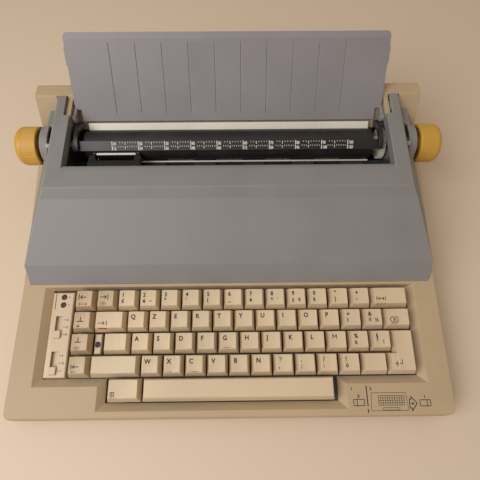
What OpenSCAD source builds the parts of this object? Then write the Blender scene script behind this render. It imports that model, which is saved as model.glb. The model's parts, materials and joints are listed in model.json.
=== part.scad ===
/* [Case] */
// Distance from each end of the platen's rubber to the side of the case
side_w = 48; // [44:1:56]
// Height of the deck's front edge above the desk
front_h = 28; // [26:1:32]
// Slope of the keyboard deck in degrees
deck_slope = 7; // [6:0.5:8]
// Wall thickness of the mouldings
wall = 2.5; // [2:0.1:3]
// Radius of the case's upright corners
corner_r = 6; // [3:1:9]
// Height of the rubber feet
foot_h = 5; // [4:0.5:8]
// Depth of the flat on top of the rear wall
rear_flat = 15; // [12:1:20]

/* [Cover] */
// Height of the upright front face of the cover
fascia_h = 13; // [10:0.5:15]
// Slope of the cover's front in degrees
front_slope = 30; // [27:0.5:32]
// Slope of the ridge and the arms in degrees
arm_slope = 5.5; // [4.5:0.5:6]
// Drop of the rounded lip in front of the platen opening
lip_drop = 3.5; // [3.2:0.1:4]

/* [Platen] */
// Distance of the platen axis behind the front edge
platen_y = 252; // [248:1:258]
// Height of the platen axis above the desk
platen_z = 71; // [69:0.5:73]
// Radius of the platen's rubber
platen_r = 14; // [13:0.25:15]
// Length of the platen's rubber
platen_l = 284; // [276:2:286]
// Radius of the platen shaft
shaft_r = 3.5; // [3:0.1:4]
// Radius of the two knobs
knob_r = 19; // [17:0.5:20]
// Length of a knob
knob_l = 21.8; // [18:0.2:26]
// Gear module of the paper feed drive
gear_m = 0.73; // [0.7:0.01:0.75]

/* [Keyboard] */
// Pitch of the keys
key_pitch = 19.05; // [18.5:0.05:19.5]
// Gap between neighbouring key skirts
key_gap = 1.05; // [0.8:0.05:1.6]
// Height of a keycap above the deck plane
key_h = 9; // [7:0.5:11]
// Travel of a key
key_travel = 3.5; // [2.5:0.25:4]
// Side of a key stem
stem_w = 4.6; // [4:0.1:5.5]

/* [Paper support] */
// Gap between the paper support and each arm of the cover
support_gap = 1.5; // [1.2:0.1:4]
// Height of the paper support along its slope
support_l = 80.5; // [70:0.5:81]
// Thickness of the paper support
support_t = 2.5; // [2:0.1:2.8]
// Angle of the open paper support above the desk in degrees
support_angle = 53.3; // [50:0.5:56]

/* [Printing] */
// Radius of the print wheel
wheel_r = 31; // [28:0.5:32]
// Number of petals on the print wheel
petal_count = 48; // [24:4:60]
// Distance of the parked carriage left of the middle
park_x = 110; // [104:1:112]

/* [Hidden] */
fine = 48;
fit = 0.05;
case_w = platen_l + 2*side_w;
// A length past every face of the case, for cuts and sections
far = case_w;

// The deck plane and what lies on it
function deck_z(y) = front_h + y*tan(deck_slope);
key_d = key_pitch - key_gap;
bar_v = 13.2;
bar_pitch = 20;
row4_v = bar_v + bar_pitch;
function row_v(n) = row4_v + (4 - n)*key_pitch;
well_gap = 1;
well_front_v = row4_v - well_gap;
well_rear_v = row_v(1) + key_d + 2*well_gap;
number_x = -100.8;
upper_x = number_x + 0.5*key_pitch;
home_x = number_x + 0.75*key_pitch;
lower_x = number_x + 1.25*key_pitch;
bar_x = number_x + 1.4*key_pitch;
bar_units = 8.6;
well_half = number_x + 13.75*key_pitch + 2.5;
bevel = 6.4;
bevel_d = 5;
bevel_rear = 2.2;
well_wall_d = 8;
plate_t = 1.5;
notch_left = bar_x - 1.55*key_pitch - 3.6;
notch_right = bar_x + bar_units*key_pitch + 3.4;
notch_front_v = bar_v - well_gap;

// Stations along the case
part_z = 16;
front_edge_r = 3;
cover_y = (well_rear_v + bevel_rear + 2.4)*cos(deck_slope);
rear_foot_y = platen_y + 20;
rear_top_y = rear_foot_y + 17;
rear_back_y = rear_top_y + rear_flat;
case_d = rear_back_y + 4;
seam_k = (platen_z - deck_z(cover_y))/(platen_y - cover_y);
function seam_z(y) = deck_z(cover_y) + (y - cover_y)*seam_k;
rear_h = platen_z + 30.8;
rear_lean = (rear_top_y - rear_foot_y)/(rear_h - seam_z(rear_foot_y));
function rear_face_y(z) = rear_foot_y + (z - seam_z(rear_foot_y))*rear_lean;

// Stations on the cover
seam_gap = 0.3;
fascia_run = 14.1;
crest_y = cover_y + fascia_run;
crest_z = deck_z(cover_y) + fascia_h;
ridge_y = platen_y - 64.5;
ridge_z = platen_z + 22;
crease_y = ridge_y - 7.5;
crease_z = min(crest_z + (crease_y - crest_y)*tan(front_slope), ridge_z - 4);
function top_z(y) = ridge_z + (y - ridge_y)*tan(arm_slope);
function lip_z(y) = top_z(y) - lip_drop;
open_half = platen_l/2 + 11;
open_y = platen_y - 41;
lip_run = 7;
drum_in = open_half + 11;
arm_half = drum_in + 2.5;
arm_end = arm_half + 1.5;
crest_half = case_w/2 - 3;
cover_foot_half = case_w/2 - 6;
cover_t = wall;
rear_gap = 0.8;
skirt_d = 5;
drum_r = platen_r + 5;
drum_face_x = case_w/2 - 7.2;
shoulder_x = case_w/2 - 12;
lever_x = arm_end + 3;
lever_t = 4.2;
slot_w = lever_t + 0.6;
shaft_notch_r = shaft_r + 4.5;
seat_half = case_w/2 - 12;
cover_hinge_y = platen_y + 26;
cover_hinge_z = platen_z + 24.5;
pin_r = 1.5;
pocket_r = 12.4;
finger_in = open_half + 0.4;
finger_out = finger_in + 4.6;
finger_front_y = platen_y + 13.8;
finger_low_z = platen_z + 16.6;
lug_gap = 0.6;

// Paper support
support_hinge_y = platen_y + 16.5;
support_reach = 6.7;
support_tail = 4;
support_w = 2*(open_half - support_gap);
support_hinge_z = lip_z(support_hinge_y) + 0.2 - support_reach/cos(arm_slope);
ear_out = support_w/2 + 1.1;
ear_t = 3.1;
ear_r = 4;
groove_pitch = 24.6;
groove_count = 10;
lip_l = 5;
lip_rise = 1.6;
lip_chamfer = 0.6;
support_corner = 4;

// Depth of the whole machine, halved to set the origin
support_top_y = support_hinge_y + (support_l - support_tail - lip_chamfer)*cos(support_angle)
                + (support_reach + support_t + lip_rise)*sin(support_angle);
mid_y = max(support_top_y, case_d)/2;

// Chassis and platen drive
floor_z = foot_h + wall;
base_z = floor_z + 1.5;
sheet = 1.5;
frame_x = open_half + 3;
frame_t = 2;
chassis_rear_y = platen_y + 33;
bail_pivot_y = platen_y + 14;
bail_pivot_z = platen_z + 12.9;
bail_pin_r = 2;
bush_r = 6;
gear_teeth = 40;
idler_teeth = 18;
pinion_teeth = 20;
gear_x = frame_x - 6.6;
gear_w = 5;
drive_dir = -48;
function gear_pos(d) = around(d, drive_dir);
idler_d = gear_m*(gear_teeth + idler_teeth)/2;
pinion_d = idler_d + gear_m*(idler_teeth + pinion_teeth)/2;
idler_pin_r = 1.5;
pinion_shaft_r = 1.5;
feed_motor_r = 12;
feed_motor_l = 24;
roller_r = 5;
roller_shaft_r = 2;
roller_gap = 0.3;
roller_d = platen_r + roller_gap + roller_r;
function around(d, a) = [platen_y + d*cos(a), platen_z + d*sin(a)];
front_roller = around(roller_d, -122);
rear_roller = around(roller_d, -82);
chute_gap = 1.6;
chute_t = 1.4;
chute_half = platen_l/2 - 1;

// Bail
bail_dir = 130.5;
bail_r = platen_r + 1.6;
bail_t = 2;
bail_w = 9.4;
bail_half = platen_l/2 + 7.5;
bail_arm_in = platen_l/2 + 3;
bail_arm_t = 4;
bail_band = 4.9;

// Printing unit
print_y = platen_y - platen_r;
wheel_y = print_y - 3.4;
wheel_t = 0.8;
wheel_z = platen_z - wheel_r + 3;
wheel_hub_r = 9;
motor_r = 12.6;
motor_front_y = wheel_y - 28;
front_rod_r = 4;
rear_rod_r = 3;
front_rod_y = motor_front_y - front_rod_r - 4;
front_rod_z = wheel_z - 3;
chassis_front_y = front_rod_y - front_rod_r - 8.6;
rear_rod_y = wheel_y - 13;
rear_rod_z = wheel_z - motor_r - rear_rod_r - 4;
carriage_half = 22;
hammer_r = 3;
hammer_stroke = 1.5;
cassette_z = platen_z + 4;
cassette_h = 7;
cassette_half = 25;
belt_y = chassis_front_y + 6;
belt_z = foot_h + 15;
pulley_r = 6;
pulley_x = frame_x - 12;
belt_t = 1;
belt_w = 4;
board_z = floor_z + 3;
board_t = 1.6;
board_x0 = -150;
board_x1 = 90;
board_y0 = 30;
board_y1 = 146;
board_spots = [[board_x0 + 8, board_y0 + 8], [board_x1 - 8, board_y0 + 8],
               [board_x0 + 8, board_y1 - 8], [board_x1 - 8, board_y1 - 8]];

// A section drawn in Y and Z, carried along X from x0 to x1
module along_x(x0, x1) {
    translate([x0, 0, 0]) rotate([90, 0, 90]) linear_extrude(x1 - x0) children();
}
// A section drawn in X and Z, carried along Y from y0 to y1
module along_y(y0, y1) {
    translate([0, y1, 0]) rotate([90, 0, 0]) linear_extrude(y1 - y0) children();
}
module rod_x(x0, x1, y, z, r) {
    translate([x0, y, z]) rotate([0, 90, 0]) cylinder(r = r, h = x1 - x0, $fn = fine);
}
module rod_y(y0, y1, x, z, r) {
    translate([x, y1, z]) rotate([90, 0, 0]) cylinder(r = r, h = y1 - y0, $fn = fine);
}
module both_sides() {
    children();
    mirror([1, 0, 0]) children();
}
module block(x0, x1, y0, y1, z0, z1) {
    translate([x0, y0, z0]) cube([x1 - x0, y1 - y0, z1 - z0]);
}
// Sets the machine down with the middle of its footprint on the origin
module on_desk() {
    translate([0, -mid_y, 0]) children();
}
// The deck plane: X across, Y up the slope, Z square to it
module on_deck() {
    translate([0, 0, front_h]) rotate([deck_slope, 0, 0]) children();
}
// The plane of the paper support's front face with Y up the plate from the hinge
module on_support() {
    translate([0, support_hinge_y, support_hinge_z]) rotate([support_angle, 0, 0])
        translate([0, 0, -support_reach]) children();
}

// A closed outline moved inwards by d, for outlines drawn anticlockwise
function unit(v) = v/norm(v);
function left_of(v) = [-v.y, v.x];
function inset(p, d) = [for (i = [0:len(p) - 1])
    let (b = p[i], a = p[(i + len(p) - 1) % len(p)], c = p[(i + 1) % len(p)],
         m = left_of(unit(b - a)), n = left_of(unit(c - b)))
    b + (m + n)*d/(1 + m*n)];
// A closed outline with corner i rounded to radius r[i] in four steps
function corner(a, b, c, r) =
    let (u = unit(a - b), v = unit(c - b), half = acos(u*v)/2, o = b + unit(u + v)*r/sin(half),
         s = b + u*r/tan(half) - o, e = b + v*r/tan(half) - o, a0 = atan2(s.y, s.x),
         turn = atan2(s.x*e.y - s.y*e.x, s*e))
    [for (k = [0:4]) o + r*[cos(a0 + turn*k/4), sin(a0 + turn*k/4)]];
function rounded(p, r) = [for (i = [0:len(p) - 1])
    each (r[i] == 0 ? [p[i]] :
        corner(p[(i + len(p) - 1) % len(p)], p[i], p[(i + 1) % len(p)], r[i]))];
function arc(y, z, r, a0, a1, n) = [for (k = [0:n])
    [y + r*cos(a0 + (a1 - a0)*k/n), z + r*sin(a0 + (a1 - a0)*k/n)]];

// Plan of the case with its upright corners rounded
module plan(less) {
    r = max(corner_r - less, 0.5);
    x = case_w/2 - less;
    translate([-x + r, less]) square([2*(x - r), case_d - 2*less]);
    translate([-x, less + r]) square([2*x, case_d - 2*(less + r)]);
    for (sx = [-1, 1], y = [less + r, case_d - less - r])
        translate([sx*(x - r), y]) circle(r = r, $fn = fine);
}
module plan_block(z0, z1, less) {
    translate([0, 0, z0]) linear_extrude(z1 - z0) plan(less);
}

// Bottom case: a tray with drawn-in sides, ribs, bosses and cooling slots
screw_spots = [[-case_w/2 + 14, 14], [case_w/2 - 14, 14],
               [-case_w/2 + 14, case_d - 14], [case_w/2 - 14, case_d - 14]];
screw_r = 1.5;
boss_r = 4.5;
tray_in = 4;
module tray(less, bottom, top) {
    intersection() {
        plan_block(bottom, top, less);
        along_x(-far, far)
            polygon([[tray_in + less, bottom], [case_d - tray_in - less, bottom],
                     [case_d - less, part_z], [case_d - less, top + 1],
                     [less, top + 1], [less, part_z]]);
        along_y(-1, case_d + 1)
            polygon([[-case_w/2 + tray_in + less, bottom], [case_w/2 - tray_in - less, bottom],
                     [case_w/2 - less, part_z], [case_w/2 - less, top + 1],
                     [-case_w/2 + less, top + 1], [-case_w/2 + less, part_z]]);
    }
}
vent_count = 9;
module bottom_case() {
    color("#b9ab95") difference() {
        union() {
            difference() {
                tray(0, foot_h, part_z);
                tray(wall, floor_z, part_z + 1);
            }
            for (s = screw_spots) translate([s.x, s.y, foot_h + 0.5])
                cylinder(r = boss_r, h = part_z - foot_h - 0.5, $fn = fine);
            for (sx = [-1, 1], y = [chassis_front_y + 8, chassis_rear_y - 8])
                translate([sx*(frame_x - 12), y, foot_h + 0.5])
                    cylinder(r = boss_r, h = base_z - foot_h - 0.5, $fn = fine);
            for (p = board_spots) translate([p.x, p.y, foot_h + 0.5])
                cylinder(r = boss_r, h = board_z - foot_h - 0.5, $fn = fine);
            block(-case_w/2 + 12, case_w/2 - 12, chassis_front_y - 7, chassis_front_y - 5,
                  foot_h + 0.5, part_z - 4);
        }
        for (s = screw_spots) translate([s.x, s.y, foot_h - 1]) {
            cylinder(r = screw_r + fit, h = part_z, $fn = fine);
            cylinder(r = screw_r + 1.8, h = 4.2, $fn = fine);
        }
        for (i = [0:vent_count - 1])
            block(-64 + 16*i - 3, -64 + 16*i + 3, platen_y - 28, platen_y + 4,
                  foot_h - 1, floor_z + 1);
        rod_y(chassis_front_y - 8, chassis_front_y - 4, -pulley_x, belt_z,
              carriage_motor_r + 0.4);
    }
}

// Upper case: deck with the key well, side walls, seam flange and rear wall
case_points = [[0, 0], [case_d, 0], [case_d, platen_z], [rear_back_y, rear_h],
               [rear_top_y, rear_h], [rear_foot_y, seam_z(rear_foot_y)],
               [cover_y, deck_z(cover_y)], [0, deck_z(0)]];
module case_block(less) {
    intersection() {
        plan_block(part_z - (less > 0 ? 1 : 0), rear_h + 1, less);
        along_x(-far, far)
            polygon(rounded(inset(case_points, less),
                            [0, 0, 0, 2.5, max(1.5 - less/2, 0.4), 0, 0, front_edge_r]));
    }
}
// A cut with drawn-in sides: full size on the deck plane, smaller by run_x and run_y below
module bevel_cut(x0, x1, v0, v1, run_x, run_front, run_rear) {
    up = 4;
    k = (bevel_d + up)/bevel_d;
    intersection() {
        along_y(v0 - run_front*k, v1 + run_rear*k)
            polygon([[x0, -bevel_d], [x1, -bevel_d], [x1 + run_x*k, up], [x0 - run_x*k, up]]);
        along_x(x0 - run_x*k, x1 + run_x*k)
            polygon([[v0, -bevel_d], [v1, -bevel_d], [v1 + run_rear*k, up],
                     [v0 - run_front*k, up]]);
    }
}
// The skirt round the key well, reaching below the deck
module well_skirt() {
    on_deck() {
        block(-well_half - bevel, well_half + bevel, well_front_v - bevel,
              well_rear_v + bevel_rear, -well_wall_d, -0.6);
        block(notch_left - bevel, notch_right + bevel, notch_front_v - bevel, well_front_v,
              -well_wall_d, -0.6);
    }
}
module key_well() {
    on_deck() {
        bevel_cut(-well_half, well_half, well_front_v, well_rear_v, bevel, bevel, bevel_rear);
        bevel_cut(notch_left, notch_right, notch_front_v, well_front_v + 1, bevel, bevel, 0);
        block(-well_half, well_half, well_front_v, well_rear_v, -well_wall_d - 6, 1);
        block(notch_left, notch_right, notch_front_v, well_front_v + 1, -well_wall_d - 6, 1);
    }
}
module finger() {
    top = lip_z(rear_top_y - 3);
    along_x(finger_in, finger_out)
        polygon(rounded([[finger_front_y, finger_low_z],
                         [rear_face_y(finger_low_z) + 1, finger_low_z],
                         [rear_face_y(top) + 1, top],
                         [finger_front_y, lip_z(finger_front_y)]], [0.5, 0, 0, 1]));
}
knob_pad_r = knob_r + 4;
knob_pocket_x = case_w/2 - 5.5;
vent_fins = 12;
switch_x = 150;
switch_z = 40;
switch_w = 22;
switch_h = 13;
inlet_x = -150;
inlet_z = 40;
inlet_w = 20;
inlet_h = 12;
module rear_frame(x, z, w, h, t) {
    block(x - w/2 - t, x + w/2 + t, case_d - 12, case_d - 1, z - h/2 - t, z + h/2 + t);
}
module upper_case() {
    color("#c8bba5") difference() {
        union() {
            difference() {
                case_block(0);
                case_block(wall);
                both_sides() block(-1, seat_half, cover_y + wall + 2, rear_foot_y - 1,
                                   part_z, rear_h + 2);
            }
            intersection() {
                case_block(0);
                union() {
                    well_skirt();
                    both_sides() {
                        rod_x(knob_pocket_x - wall, case_w/2 - 1, platen_y, platen_z, knob_pad_r);
                        block(finger_out - 2, arm_end + 3, cover_hinge_y + 2, rear_top_y + 4,
                              cover_hinge_z - pocket_r - 2, rear_h);
                    }
                    for (s = screw_spots) translate([s.x, s.y, part_z])
                        cylinder(r = boss_r, h = rear_h, $fn = fine);
                }
            }
            rear_frame(switch_x, switch_z, switch_w, switch_h, 1.5);
            rear_frame(inlet_x, inlet_z, inlet_w, inlet_h, 1.5);
            both_sides() finger();
        }
        key_well();
        both_sides() {
            rod_x(knob_pocket_x, case_w/2 + 1, platen_y, platen_z, knob_r + 1.5);
            rod_x(seat_half - 1, case_w/2, platen_y, platen_z, shaft_notch_r);
            difference() {
                rod_x(finger_out, arm_end + lug_gap, cover_hinge_y, cover_hinge_z, pocket_r);
                rod_x(finger_out - 1, arm_half - 2, cover_hinge_y, cover_hinge_z, pin_r);
            }
        }
        for (s = screw_spots) translate([s.x, s.y, 0])
            cylinder(r = screw_r, h = part_z + 8, $fn = fine);
        for (i = [0:vent_fins - 1])
            block(-66 + 12*i - 2.5, -66 + 12*i + 2.5, case_d - 12, case_d + 1, 30, 48);
        rear_frame(switch_x, switch_z, switch_w, switch_h, 0);
        block(switch_x - switch_w/2, switch_x + switch_w/2, case_d - 5, case_d + 1,
              switch_z - switch_h/2, switch_z + switch_h/2);
        block(inlet_x - inlet_w/2, inlet_x + inlet_w/2, case_d - 13, case_d + 1,
              inlet_z - inlet_h/2, inlet_z + inlet_h/2);
    }
    color("#c8bba5") both_sides() {
        rod_x(finger_out - 1, arm_half - 2, cover_hinge_y, cover_hinge_z, pin_r);
        rod_x(ear_out - ear_t, finger_in + 1, support_hinge_y, support_hinge_z, pin_r);
    }
}

// Top cover: a hipped shell with an opening over the platen and two hinged arms
prism_h = (top_z(crest_y) - crest_z)*cos(arm_slope);
flare = (crest_half - cover_foot_half)/fascia_h;
module cover_prism(less, drop) {
    low = -fascia_h - 6;
    translate([0, crest_y, crest_z]) rotate([arm_slope, 0, 0]) along_y(-far, far)
        polygon([[-crest_half - low*flare + less, low], [crest_half + low*flare - less, low],
                 [crest_half - less, 0], [arm_half - less, prism_h - drop],
                 [-arm_half + less, prism_h - drop], [-crest_half + less, 0]]);
}
cover_points = [[cover_y + 0.2, deck_z(cover_y) + seam_gap],
                [rear_foot_y - rear_gap - 0.2, seam_z(rear_foot_y) + seam_gap],
                [rear_face_y(top_z(rear_top_y)) - rear_gap, top_z(rear_top_y)],
                [ridge_y, ridge_z], [crease_y, crease_z], [crest_y, crest_z]];
module cover_body() {
    intersection() {
        cover_prism(0, 0);
        along_x(-far, far)
            polygon(rounded(cover_points, [0, 0, 0.5, 1.5, 3, 2.5]));
    }
}
module cover_hollow() {
    p = inset(cover_points, cover_t);
    intersection() {
        cover_prism(cover_t, cover_t);
        along_x(-far, far)
            polygon([p[5] + 50*unit(p[0] - p[5]), [case_d, 0], [case_d, far],
                     p[3], p[4], p[5]]);
    }
}
// The drum round each platen end with the shoulder that runs back to the rear wall
module drum(r, x0, x1) {
    intersection() {
        union() {
            rod_x(x0, x1, platen_y, platen_z, r);
            block(x0, min(x1, shoulder_x - (drum_r - r)), platen_y, rear_foot_y + 20,
                  platen_z - 10, platen_z + r);
        }
        along_x(0, case_w)
            polygon([[0, seam_z(0) + seam_gap], [rear_foot_y - rear_gap - 0.2,
                     seam_z(rear_foot_y) + seam_gap], [rear_face_y(rear_h) - rear_gap, rear_h],
                     [0, rear_h]]);
    }
}
slot_front = 152;
slot_rear = 62;
module top_cover() {
    color("#86878c") difference() {
        union() {
            difference() {
                cover_body();
                cover_hollow();
                both_sides() block(arm_end, case_w/2, platen_y + 3, case_d,
                                   platen_z + drum_r, rear_h + 9);
            }
            opening_skirt();
            both_sides() {
                drum(drum_r, drum_in, drum_face_x);
                rod_x(finger_out + lug_gap, arm_half - 0.5, cover_hinge_y, cover_hinge_z, 5);
            }
        }
        block(-open_half, open_half, open_y, case_d, opening_low, far);
        opening_lip();
        both_sides() {
            drum(drum_r - wall, 0, drum_face_x - wall);
            rod_x(0, case_w, platen_y, platen_z, shaft_notch_r);
            block(open_half - 1, finger_out + lug_gap, finger_front_y - lug_gap, case_d,
                  opening_low, far);
            rod_x(finger_out, arm_half - 1.5, cover_hinge_y, cover_hinge_z, pin_r + fit);
            lever_slot();
        }
    }
}
// The skirt hanging round the opening and the rounded lip in front of it
opening_low = platen_z - 31;
skirt_t = 2.2;
function skirt_z(y) = lip_z(y) - skirt_d - cover_t;
module opening_skirt() {
    intersection() {
        cover_prism(0.5, 0);
        along_x(-open_half - skirt_t, open_half + skirt_t)
            polygon([[open_y - skirt_t, skirt_z(open_y)],
                     [finger_front_y - 1, skirt_z(finger_front_y)],
                     [finger_front_y - 1, top_z(finger_front_y) - 1],
                     [open_y - skirt_t, top_z(open_y) - 1]]);
    }
}
module opening_lip() {
    along_x(-open_half, open_half)
        polygon(concat([for (a = [0:15:90]) [open_y - lip_run + lip_run*sin(a),
                        top_z(open_y - lip_run + lip_run*sin(a)) - lip_drop*(1 - cos(a)) + 0.01]],
                       [[open_y + 1, lip_z(open_y)], [open_y + 1, top_z(open_y) + 5],
                        [open_y - lip_run, top_z(open_y) + 5]]));
}
module lever_slot() {
    translate([lever_x + (lever_t - slot_w)/2, platen_y, platen_z]) rotate([90, 0, 90])
        difference() {
            linear_extrude(slot_w) polygon(concat([[0, 0]], arc(0, 0, drum_r + 9,
                slot_rear, slot_front, 12)));
            translate([0, 0, -1]) cylinder(r = drum_r - wall - 1, h = slot_w + 2, $fn = fine);
        }
}

// Paper support: a fluted plate with a finger lip and two hinge ears
module paper_support() {
    half = support_w/2;
    top = support_l - support_tail;
    color("#8a8b8f") on_support() difference() {
        union() {
            along_x(-half, half)
                polygon([[-support_tail, -support_t], [top - lip_l, -support_t],
                         [top - lip_chamfer, -support_t - lip_rise], [top, -lip_rise],
                         [top - lip_l, 0],
                         [-support_tail + 0.8, 0]]);
            both_sides() {
                along_x(ear_out - ear_t, ear_out)
                    polygon([[-ear_r, -support_t], [ear_r + 6, -support_t], [ear_r + 6, 0],
                             [ear_r, support_reach], [-ear_r, support_reach]]);
                rod_x(ear_out - ear_t, ear_out, 0, support_reach, ear_r);
                block(half - 1, half + support_gap - 0.6, top - 28, top - 12, -support_t, 0);
            }
        }
        for (i = [0:groove_count - 1])
            translate([(i - (groove_count - 1)/2)*groove_pitch - 0.4, 4, -0.6])
                cube([0.8, top - lip_l - 8, 2]);
        both_sides() difference() {
            block(half - support_corner, half + 1, top - support_corner, top + 1, -far, far);
            translate([half - support_corner, top - support_corner, -far])
                cylinder(r = support_corner, h = 2*far, $fn = fine);
        }
        both_sides() {
            rod_x(ear_out - ear_t - 1, ear_out + 1, 0, support_reach, pin_r + fit);
            block(half - 6, ear_out - ear_t - 0.01, -support_tail - 1, 8, -support_t - 1, 1);
        }
    }
}

// Feet and screws under the case
foot_spots = [[-case_w/2 + 40, 34], [case_w/2 - 40, 34],
              [-case_w/2 + 40, case_d - 38], [case_w/2 - 40, case_d - 38]];
module rubber_feet() {
    color("#2f2f30") for (s = foot_spots) translate([s.x, s.y, 0]) difference() {
        cylinder(r = 8, h = foot_h, $fn = fine);
        translate([0, 0, -1]) cylinder(r = 2.5, h = 2.2, $fn = fine);
    }
}
module case_screws() {
    color("#8d8f92") for (s = screw_spots) translate([s.x, s.y, foot_h + 0.4]) difference() {
        union() {
            cylinder(r = screw_r + 1.6, h = 2.8, $fn = fine);
            cylinder(r = screw_r - 0.01, h = part_z - foot_h + 5, $fn = fine);
        }
        translate([-0.4, -2.5, -0.1]) cube([0.8, 5, 1]);
        translate([-2.5, -0.4, -0.1]) cube([5, 0.8, 1]);
    }
}

// Keys, each given as [left edge, row, width in pitches]; row 5 holds the space bar
function skirt_w(units) = units*key_pitch - key_gap;
function key_v(n) = n == 5 ? bar_v : row_v(n);
function depth_of(n) = n == 5 ? bar_pitch - key_gap : key_d;
function row_of(x0, n, row) = [for (i = [0:n - 1]) [x0 + i*key_pitch, row, 1]];
number_row = row_of(number_x, 12, 1);
upper_row = row_of(upper_x, 12, 2);
home_row = row_of(home_x, 12, 3);
lower_row = row_of(lower_x, 10, 4);
margin_left = [number_x - 2*key_pitch, 1, 1];
margin_right = [number_x - key_pitch, 1, 1];
backspace = [number_x + 12*key_pitch, 1, 1.75];
tab_set = [upper_x - 2.5*key_pitch, 2, 1];
tab = [upper_x - 1.5*key_pitch, 2, 1.5];
correction = [upper_x + 12*key_pitch, 2, 1.25];
tab_clear = [home_x - 2.75*key_pitch, 3, 1];
shift_lock = [home_x - 1.25*key_pitch, 3, 1.25];
relocate = [lower_x - 3.25*key_pitch, 4, 1];
left_shift = [lower_x - 2.25*key_pitch, 4, 2.25];
right_shift = [lower_x + 10*key_pitch, 4, 1.2];
return_low = [lower_x + 11.2*key_pitch, 4, 1.3];
return_high = [home_x + 12*key_pitch, 3, 1];
code = [bar_x - 1.55*key_pitch, 5, 1.55];
bar = [bar_x, 5, bar_units];
single_keys = [margin_left, margin_right, backspace, tab_set, tab, correction, tab_clear,
               shift_lock, relocate, left_shift, right_shift, return_low, code, bar];
all_keys = concat(number_row, upper_row, home_row, lower_row, single_keys);
draft_side = 2.25;
draft_front = 3;
draft_rear = 1;
cap_t = 3.5;
dish = 0.6;
function dish_r(w) = (pow(w/2 - draft_side, 2) + dish*dish)/(2*dish);
stem_gap = 0.2;
stem_deep = well_wall_d + plate_t + key_travel;
function stems(k) = let (w = skirt_w(k[2])) k[2] > 6 ? [w*0.15, w/2, w*0.85] : [w/2];
// A keycap with drawn-in sides, a dished top, a hollow underside and its stem
module keycap(w, d, stem_list) {
    difference() {
        intersection() {
            along_y(0, d)
                polygon([[0, 0], [w, 0], [w - draft_side, key_h], [draft_side, key_h]]);
            along_x(0, w)
                polygon([[0, 0], [d, 0], [d - draft_rear, key_h - 0.6],
                         [d - draft_rear - 0.6, key_h], [draft_front + 1.2, key_h],
                         [draft_front, key_h - 1]]);
        }
        block(2.2, w - 2.2, 2.8, d - 2, -1, key_h - cap_t);
        if (len(stem_list) < 3) translate([w/2, -1, key_h - dish + dish_r(w)])
            rotate([-90, 0, 0]) cylinder(r = dish_r(w), h = d + 2, $fn = 4*fine);
    }
    for (x = stem_list)
        block(x - stem_w/2, x + stem_w/2, d/2 - stem_w/2, d/2 + stem_w/2,
              -stem_deep, key_h - cap_t + 0.5);
}
module key(k) {
    on_deck() translate([k[0], key_v(k[1]), 0])
        keycap(skirt_w(k[2]), depth_of(k[1]), stems(k));
}
module keys(row) {
    for (k = row) key(k);
}
module number_row_keys() { color("#e3dac8") keys(number_row); }
module upper_row_keys() { color("#e3dac8") keys(upper_row); }
module home_row_keys() { color("#e3dac8") keys(home_row); }
module lower_row_keys() { color("#e3dac8") keys(lower_row); }
module margin_left_key() { color("#d9cfbc") key(margin_left); }
module margin_right_key() { color("#d9cfbc") key(margin_right); }
module backspace_key() { color("#e3dac8") key(backspace); }
module tab_set_key() { color("#d9cfbc") key(tab_set); }
module tab_key() { color("#e3dac8") key(tab); }
module correction_key() { color("#e3dac8") key(correction); }
module tab_clear_key() { color("#d9cfbc") key(tab_clear); }
module shift_lock_key() { color("#e3dac8") key(shift_lock); }
// The return key covers the ends of two rows with one cap
module return_key() {
    color("#e3dac8") {
        key(return_low);
        on_deck() translate([return_high[0], row_v(4), 0])
            keycap(skirt_w(1), key_pitch + key_d, []);
    }
}
module relocate_key() { color("#d9cfbc") key(relocate); }
module left_shift_key() { color("#e3dac8") key(left_shift); }
module right_shift_key() { color("#e3dac8") key(right_shift); }
module code_key() { color("#e3dac8") key(code); }
module space_bar() { color("#e3dac8") key(bar); }

// Keyboard plate under the well with a hole for every key stem
hole_half = stem_w/2 + stem_gap;
module keyboard_plate() {
    low = -well_wall_d - plate_t;
    color("#5a5b5c") on_deck() difference() {
        union() {
            block(-well_half - bevel, well_half + bevel, well_front_v - bevel,
                  well_rear_v + bevel_rear, low, -well_wall_d);
            block(notch_left - bevel, notch_right + bevel, notch_front_v - bevel, well_front_v,
                  low, -well_wall_d);
        }
        for (k = all_keys, x = stems(k))
            translate([k[0] + x, key_v(k[1]) + depth_of(k[1])/2, low - 1])
                block(-hole_half, hole_half, -hole_half, hole_half, 0, plate_t + 2);
    }
}

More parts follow.
